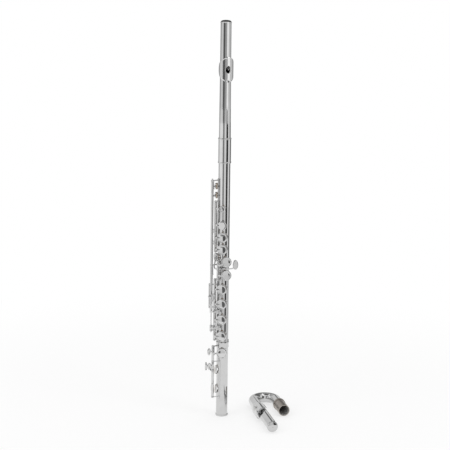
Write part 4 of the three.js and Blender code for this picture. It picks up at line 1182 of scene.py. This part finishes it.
head_matrix = Matrix.Translation((0, 0, LIP_HEIGHT)) @ Matrix.Rotation(math.radians(LIP_TURN), 4, "Z")
head_low = BARREL_LOW + BODY_IN_BARREL + HEAD_DRAW + END_PLAY - LIP_HEIGHT
taper = barrel_top - LIP_HEIGHT
crown_out = CROWN_BORE + HEAD_WALL
head_profile = [
    (TUBE - HEAD_WALL, head_low), (TUBE, head_low), (TUBE, taper), (crown_out + HEAD_TAPER / 2, 0),
    (crown_out, CROWN_REACH), (CROWN_BORE, CROWN_REACH), (CROWN_BORE + HEAD_TAPER / 2, 0),
    (TUBE - HEAD_WALL, taper)]
head_obj = booleans(moved(lathe(head_profile, TUBE_SIDES), head_matrix), [embouchure_cut(head_matrix)])
head_obj.name = "head_tube_fine"


def on_tapered_wall(radii, normal, outward, middle):
    """Whether a face lies between the slightly tapered bore and the outside, and faces in or out."""
    between = CROWN_BORE - WALL_TOLERANCE < radii.min() and radii.max() < TUBE + WALL_TOLERANCE
    return between and abs(normal[2]) <= 0.2 and abs(outward) > 0.9 * middle


round_normals(head_obj, on_tapered_wall, head_matrix.inverted())
dress(head_obj, "head", nodes=["head_tube"])
# The head's bore gets the lighter bore look: painted light seen through the embouchure hole
lined(head_obj, CROWN_BORE + HEAD_TAPER / 2, look=LIGHTENED_BORE)
head_fittings(head_matrix, "head", "head", "crown", "stopper")

# The curved head joint lies on its side; its frame has the bend's centre at the origin.
CURVED_HEIGHT = 10.9
heading = Matrix.Rotation(math.radians(CURVED_HEADING), 4, "Z")
group = Matrix.Translation((*CURVED_AT, CURVED_HEIGHT)) @ heading
roll = math.radians(CURVED_ROLL)
back = Vector((math.cos(roll), 0, -math.sin(roll)))
up = Vector((0, -1, 0))
side = back.cross(up)
fittings = Matrix((
    (side.x, back.x, up.x, -BEND), (side.y, back.y, up.y, CROWN_REACH - CURVED_LIP_LEG),
    (side.z, back.z, up.z, 0), (0, 0, 0, 1)))


def bent_tube(radius, lip_end, tenon_end):
    """A solid U with the bend's centre at the origin and its legs along -Y."""
    stations = [((-BEND, -lip_end), (-1, 0))]
    for k in range(33):
        t = math.pi * (1 - k / 32)
        c, s = math.cos(t), math.sin(t)
        stations.append(((BEND * c, BEND * s), (c, s)))
    stations.append(((BEND, -tenon_end), (1, 0)))
    rings = []
    for (x, y), (out_x, out_y) in stations:
        turns = np.arange(CUP_SIDES) * 2 * math.pi / CUP_SIDES
        across = radius * np.cos(turns)
        rings.append(np.column_stack([x + out_x * across, y + out_y * across, radius * np.sin(turns)]))
    return skin(rings)


joint = CURVED_TENON_LEG - SLEEVE
curved_obj = booleans(moved(bent_tube(crown_out, CURVED_LIP_LEG, joint), group), [
    ("DIFFERENCE", moved(bent_tube(CROWN_BORE, CURVED_LIP_LEG + 2, joint + 2), group)),
    embouchure_cut(group @ fittings)])
curved_obj.name = "curved_head_tube_fine"
smooth(curved_obj, 30)
dress(curved_obj, "root", nodes=["curved_head_tube"])


def along_bend(point):
    """How far a point is from the line through the middle of the curved tube."""
    x, y, z = point
    return math.hypot((math.hypot(x, y) if y > 0 else abs(x)) - BEND, z)


lined(curved_obj, CROWN_BORE, group.inverted(), along_bend)

overlap = COLLAR_LONG / 2
lap = crown_out + SLIP - 0.2
sleeve_end = -joint - END_PLAY
tenon = lathe(rounded([
    (CROWN_BORE, -CURVED_TENON_LEG), (TUBE, -CURVED_TENON_LEG), (TUBE, -joint - overlap),
    (COLLAR, -joint - overlap), (COLLAR, -joint + overlap), (lap, -joint + overlap), (lap, sleeve_end),
    (CROWN_BORE, sleeve_end)], 0.25), TUBE_SIDES)
tenon = moved(tenon, Matrix.Translation((BEND, 0, 0)) @ Matrix.Rotation(-math.pi / 2, 4, "X"))
tenon_obj = finer("curved_tenon", moved(tenon, group), "root", SATIN)
lined(tenon_obj, CROWN_BORE, group.inverted(), along_bend)
head_fittings(group @ fittings, "curved", "root", "curved_crown_body", "curved_stopper")

# Floor, reflection cards, light and camera
# Azimuths run from the camera's side (-Y) toward +X, in degrees round the tube's axis.
CAMERA_TURN = 3.8
CAMERA_RISE = 11.5
CAMERA_REACH = 2500
CAMERA_ROLL = 0.68
CAMERA_AIM = (2.05, 0, 336.4)
LENS = 118.1
WHITE_NEAR, WHITE_FAR, WHITE_SHARE = 260, 900, 0.65
FLOOR_HALF = 6000
CARD_REACH = 450
CEILING_HEIGHT, CEILING_REACH = 1150, 260
CROWN_FLAG_HEIGHT, CROWN_FLAG_REACH, CROWN_FLAG_BACK = 722, 230, 140


def emission(nodes, value):
    return sockets(nodes.new("ShaderNodeEmission"), Color=(*grey(min(value, 1)), 1), Strength=max(value, 1))


def math_node(nodes, links, operation, first, second):
    node = nodes.new("ShaderNodeMath")
    node.operation = operation
    node.use_clamp = True
    links.new(first, node.inputs[0])
    links.new(second, node.inputs[1])
    return node.outputs["Value"]


def seen_directly(nodes, links):
    """1 on rays from the camera or off the metal, where the background is white."""
    path = nodes.new("ShaderNodeLightPath")
    glossy = math_node(nodes, links, "ADD", path.outputs["Is Camera Ray"], path.outputs["Is Glossy Ray"])
    return math_node(nodes, links, "ADD", glossy, path.outputs["Is Transmission Ray"])


def staged(name, part, material):
    verts, faces = part
    mesh = bpy.data.meshes.new(name)
    mesh.from_pydata((np.asarray(verts, float) * MM).tolist(), [], faces)
    obj = bpy.data.objects.new(name, mesh)
    bpy.context.scene.collection.objects.link(obj)
    obj.location = AXIS
    mesh.materials.append(material)
    return obj


def floor_material():
    """A white floor that keeps the object's shadow and turns pure white away from it."""
    material, nodes, links, shader = new_material("white_floor")
    sockets(shader, Base_Color=(*grey(0.93), 1), Roughness=0.95, Specular_IOR_Level=0)
    coords = nodes.new("ShaderNodeTexCoord").outputs["Object"]
    length = nodes.new("ShaderNodeVectorMath")
    length.operation = "LENGTH"
    links.new(coords, length.inputs[0])
    away = nodes.new("ShaderNodeMapRange")
    away.interpolation_type = "SMOOTHSTEP"
    sockets(away, From_Min=WHITE_NEAR * MM, From_Max=WHITE_FAR * MM, To_Min=WHITE_SHARE, To_Max=1)
    links.new(length.outputs["Value"], away.inputs["Value"])
    mix = nodes.new("ShaderNodeMixShader")
    seen = math_node(nodes, links, "MULTIPLY", away.outputs["Result"], seen_directly(nodes, links))
    links.new(seen, mix.inputs["Fac"])
    links.new(shader.outputs["BSDF"], mix.inputs[1])
    links.new(emission(nodes, 1).outputs["Emission"], mix.inputs[2])
    links.new(mix.outputs["Shader"], nodes["Material Output"].inputs["Surface"])
    return material


def reflected(name, part, value):
    """A card that only shows in the metal."""
    material = bpy.data.materials.new(name)
    material.use_nodes = True
    nodes, links = material.node_tree.nodes, material.node_tree.links
    nodes.clear()
    out = nodes.new("ShaderNodeOutputMaterial")
    links.new(emission(nodes, value).outputs["Emission"], out.inputs["Surface"])
    obj = staged(name, part, material)
    for ray in ("camera", "diffuse", "transmission", "volume_scatter", "shadow"):
        setattr(obj, "visible_" + ray, False)


def card(name, start, end, low, high, value):
    """A curved card that stands round the object."""
    turns = np.radians(np.linspace(start, end, max(int(abs(end - start) / 4), 1) + 1))
    verts = [(*wall_point(math.degrees(a), CARD_REACH), z) for z in (low, high) for a in turns]
    n = len(turns)
    reflected(name, (verts, [(i, i + 1, n + i + 1, n + i) for i in range(n - 1)]), value)


def ceiling(name, height, reach, value, back=0):
    """A round card that hangs over the object."""
    turns = np.radians(np.arange(0, 360, 15))
    ring = [(reach * math.cos(a), back + reach * math.sin(a), height) for a in turns]
    reflected(name, (ring, [list(range(len(ring)))]), value)


floor_corners = [(x * FLOOR_HALF, y * FLOOR_HALF, 0) for x, y in ((-1, -1), (1, -1), (1, 1), (-1, 1))]
staged("floor", (floor_corners, [(0, 1, 2, 3)]), floor_material())

# The cards on each level, from its lowest to its highest point. Each card is (name, azimuth where it
# starts, brightness), and it ends where the next one starts.
LEVELS = {
    "head": (480, 800, (
        ("left_rear", -180, 0.45), ("left", -102, 0.84), ("left_dark", -48, 0.13), ("front", -9, 0.48),
        ("right_white", 30, 1.25), ("right", 66, 0.76), ("right_rear", 112, 0.45))),
    "neck": (452, 480, (
        ("left_rear", -180, 0.5), ("left", -103, 0.95), ("left_dark", -40, 0.2), ("front", -5, 0.68),
        ("right_black", 40, 0.1), ("right_white", 54, 1.15), ("right", 66, 0.88), ("right_rear", 112, 0.35))),
    "body": (285, 452, (
        ("left_rear", -180, 0.6), ("left", -104, 1.1), ("left_dark", -32, 0.28), ("front", -2, 0.95),
        ("right_black", 34, 0.05), ("right", 72, 1), ("right_rear", 108, 0.22))),
    "keys": (160, 285, (
        ("left_rear", -180, 0.8), ("left", -104, 0.94), ("left_dark", -22, 0.12), ("front", -7, 0.83),
        ("right_black", 34, 0.05), ("right", 72, 0.9), ("right_rear", 106, 0.18))),
    "low": (2, 160, (
        ("left_rear", -180, 0.78), ("left_line", -140, 0.1), ("left_side", -134, 0.83),
        ("left_dark", -22, 0.15), ("front", -9, 0.78), ("right_black", 38, 0.05), ("right", 70, 0.8),
        ("right_line", 98, 0.1), ("right_rear", 103, 0.75))),
}
for level, (low, high, cards) in LEVELS.items():
    ends = [start for _, start, _ in cards[1:]] + [180]
    for (name, start, value), end in zip(cards, ends):
        card(level + "_" + name, start, end, low, high, value)
card("crown_white", -180, 180, 800, 870, 1.2)
ceiling("crown_flag", CROWN_FLAG_HEIGHT, CROWN_FLAG_REACH, 0.05, CROWN_FLAG_BACK)
ceiling("ceiling", CEILING_HEIGHT, CEILING_REACH, 0.15)

world = bpy.data.worlds.new("studio")
bpy.context.scene.world = world
world.use_nodes = True
nodes, links = world.node_tree.nodes, world.node_tree.links
nodes.clear()
room = sockets(nodes.new("ShaderNodeBackground"), Color=(*grey(0.9), 1), Strength=0.8)
white = sockets(nodes.new("ShaderNodeBackground"), Color=(*grey(1), 1))
pick = nodes.new("ShaderNodeMixShader")
links.new(seen_directly(nodes, links), pick.inputs["Fac"])
links.new(room.outputs["Background"], pick.inputs[1])
links.new(white.outputs["Background"], pick.inputs[2])
links.new(pick.outputs["Shader"], nodes.new("ShaderNodeOutputWorld").inputs["Surface"])


def area_light(name, location, target, size, energy):
    data = bpy.data.lights.new(name, "AREA")
    data.shape = "RECTANGLE"
    data.size, data.size_y = (side * MM for side in size)
    data.energy = energy
    obj = bpy.data.objects.new(name, data)
    bpy.context.scene.collection.objects.link(obj)
    obj.location = AXIS + Vector(location) * MM
    obj.rotation_euler = (Vector(target) - Vector(location)).to_track_quat("-Z", "Y").to_euler()


area_light("left_soft", (-1500, -1200, 1500), (0, 0, 300), (1000, 1400), 9)
area_light("right_soft", (1500, -900, 1300), (0, 0, 300), (800, 1400), 6)
area_light("top_soft", (0, 300, 2400), (0, 0, 200), (1600, 1600), 9)

turn, rise = math.radians(CAMERA_TURN), math.radians(CAMERA_RISE)
aim = AXIS + Vector(CAMERA_AIM) * MM
toward = Vector((math.sin(turn) * math.cos(rise), -math.cos(turn) * math.cos(rise), math.sin(rise)))
camera_data = bpy.data.cameras.new("camera")
camera_data.sensor_width = 36
camera_data.lens = LENS
camera = bpy.data.objects.new("camera", camera_data)
bpy.context.scene.collection.objects.link(camera)
bpy.context.scene.camera = camera
camera.location = aim + toward * CAMERA_REACH * MM
upright = (-toward).to_track_quat("-Z", "Y").to_matrix()
camera.rotation_euler = (upright @ Matrix.Rotation(math.radians(CAMERA_ROLL), 3, "Z")).to_euler()

bpy.context.scene.view_settings.view_transform = "Standard"
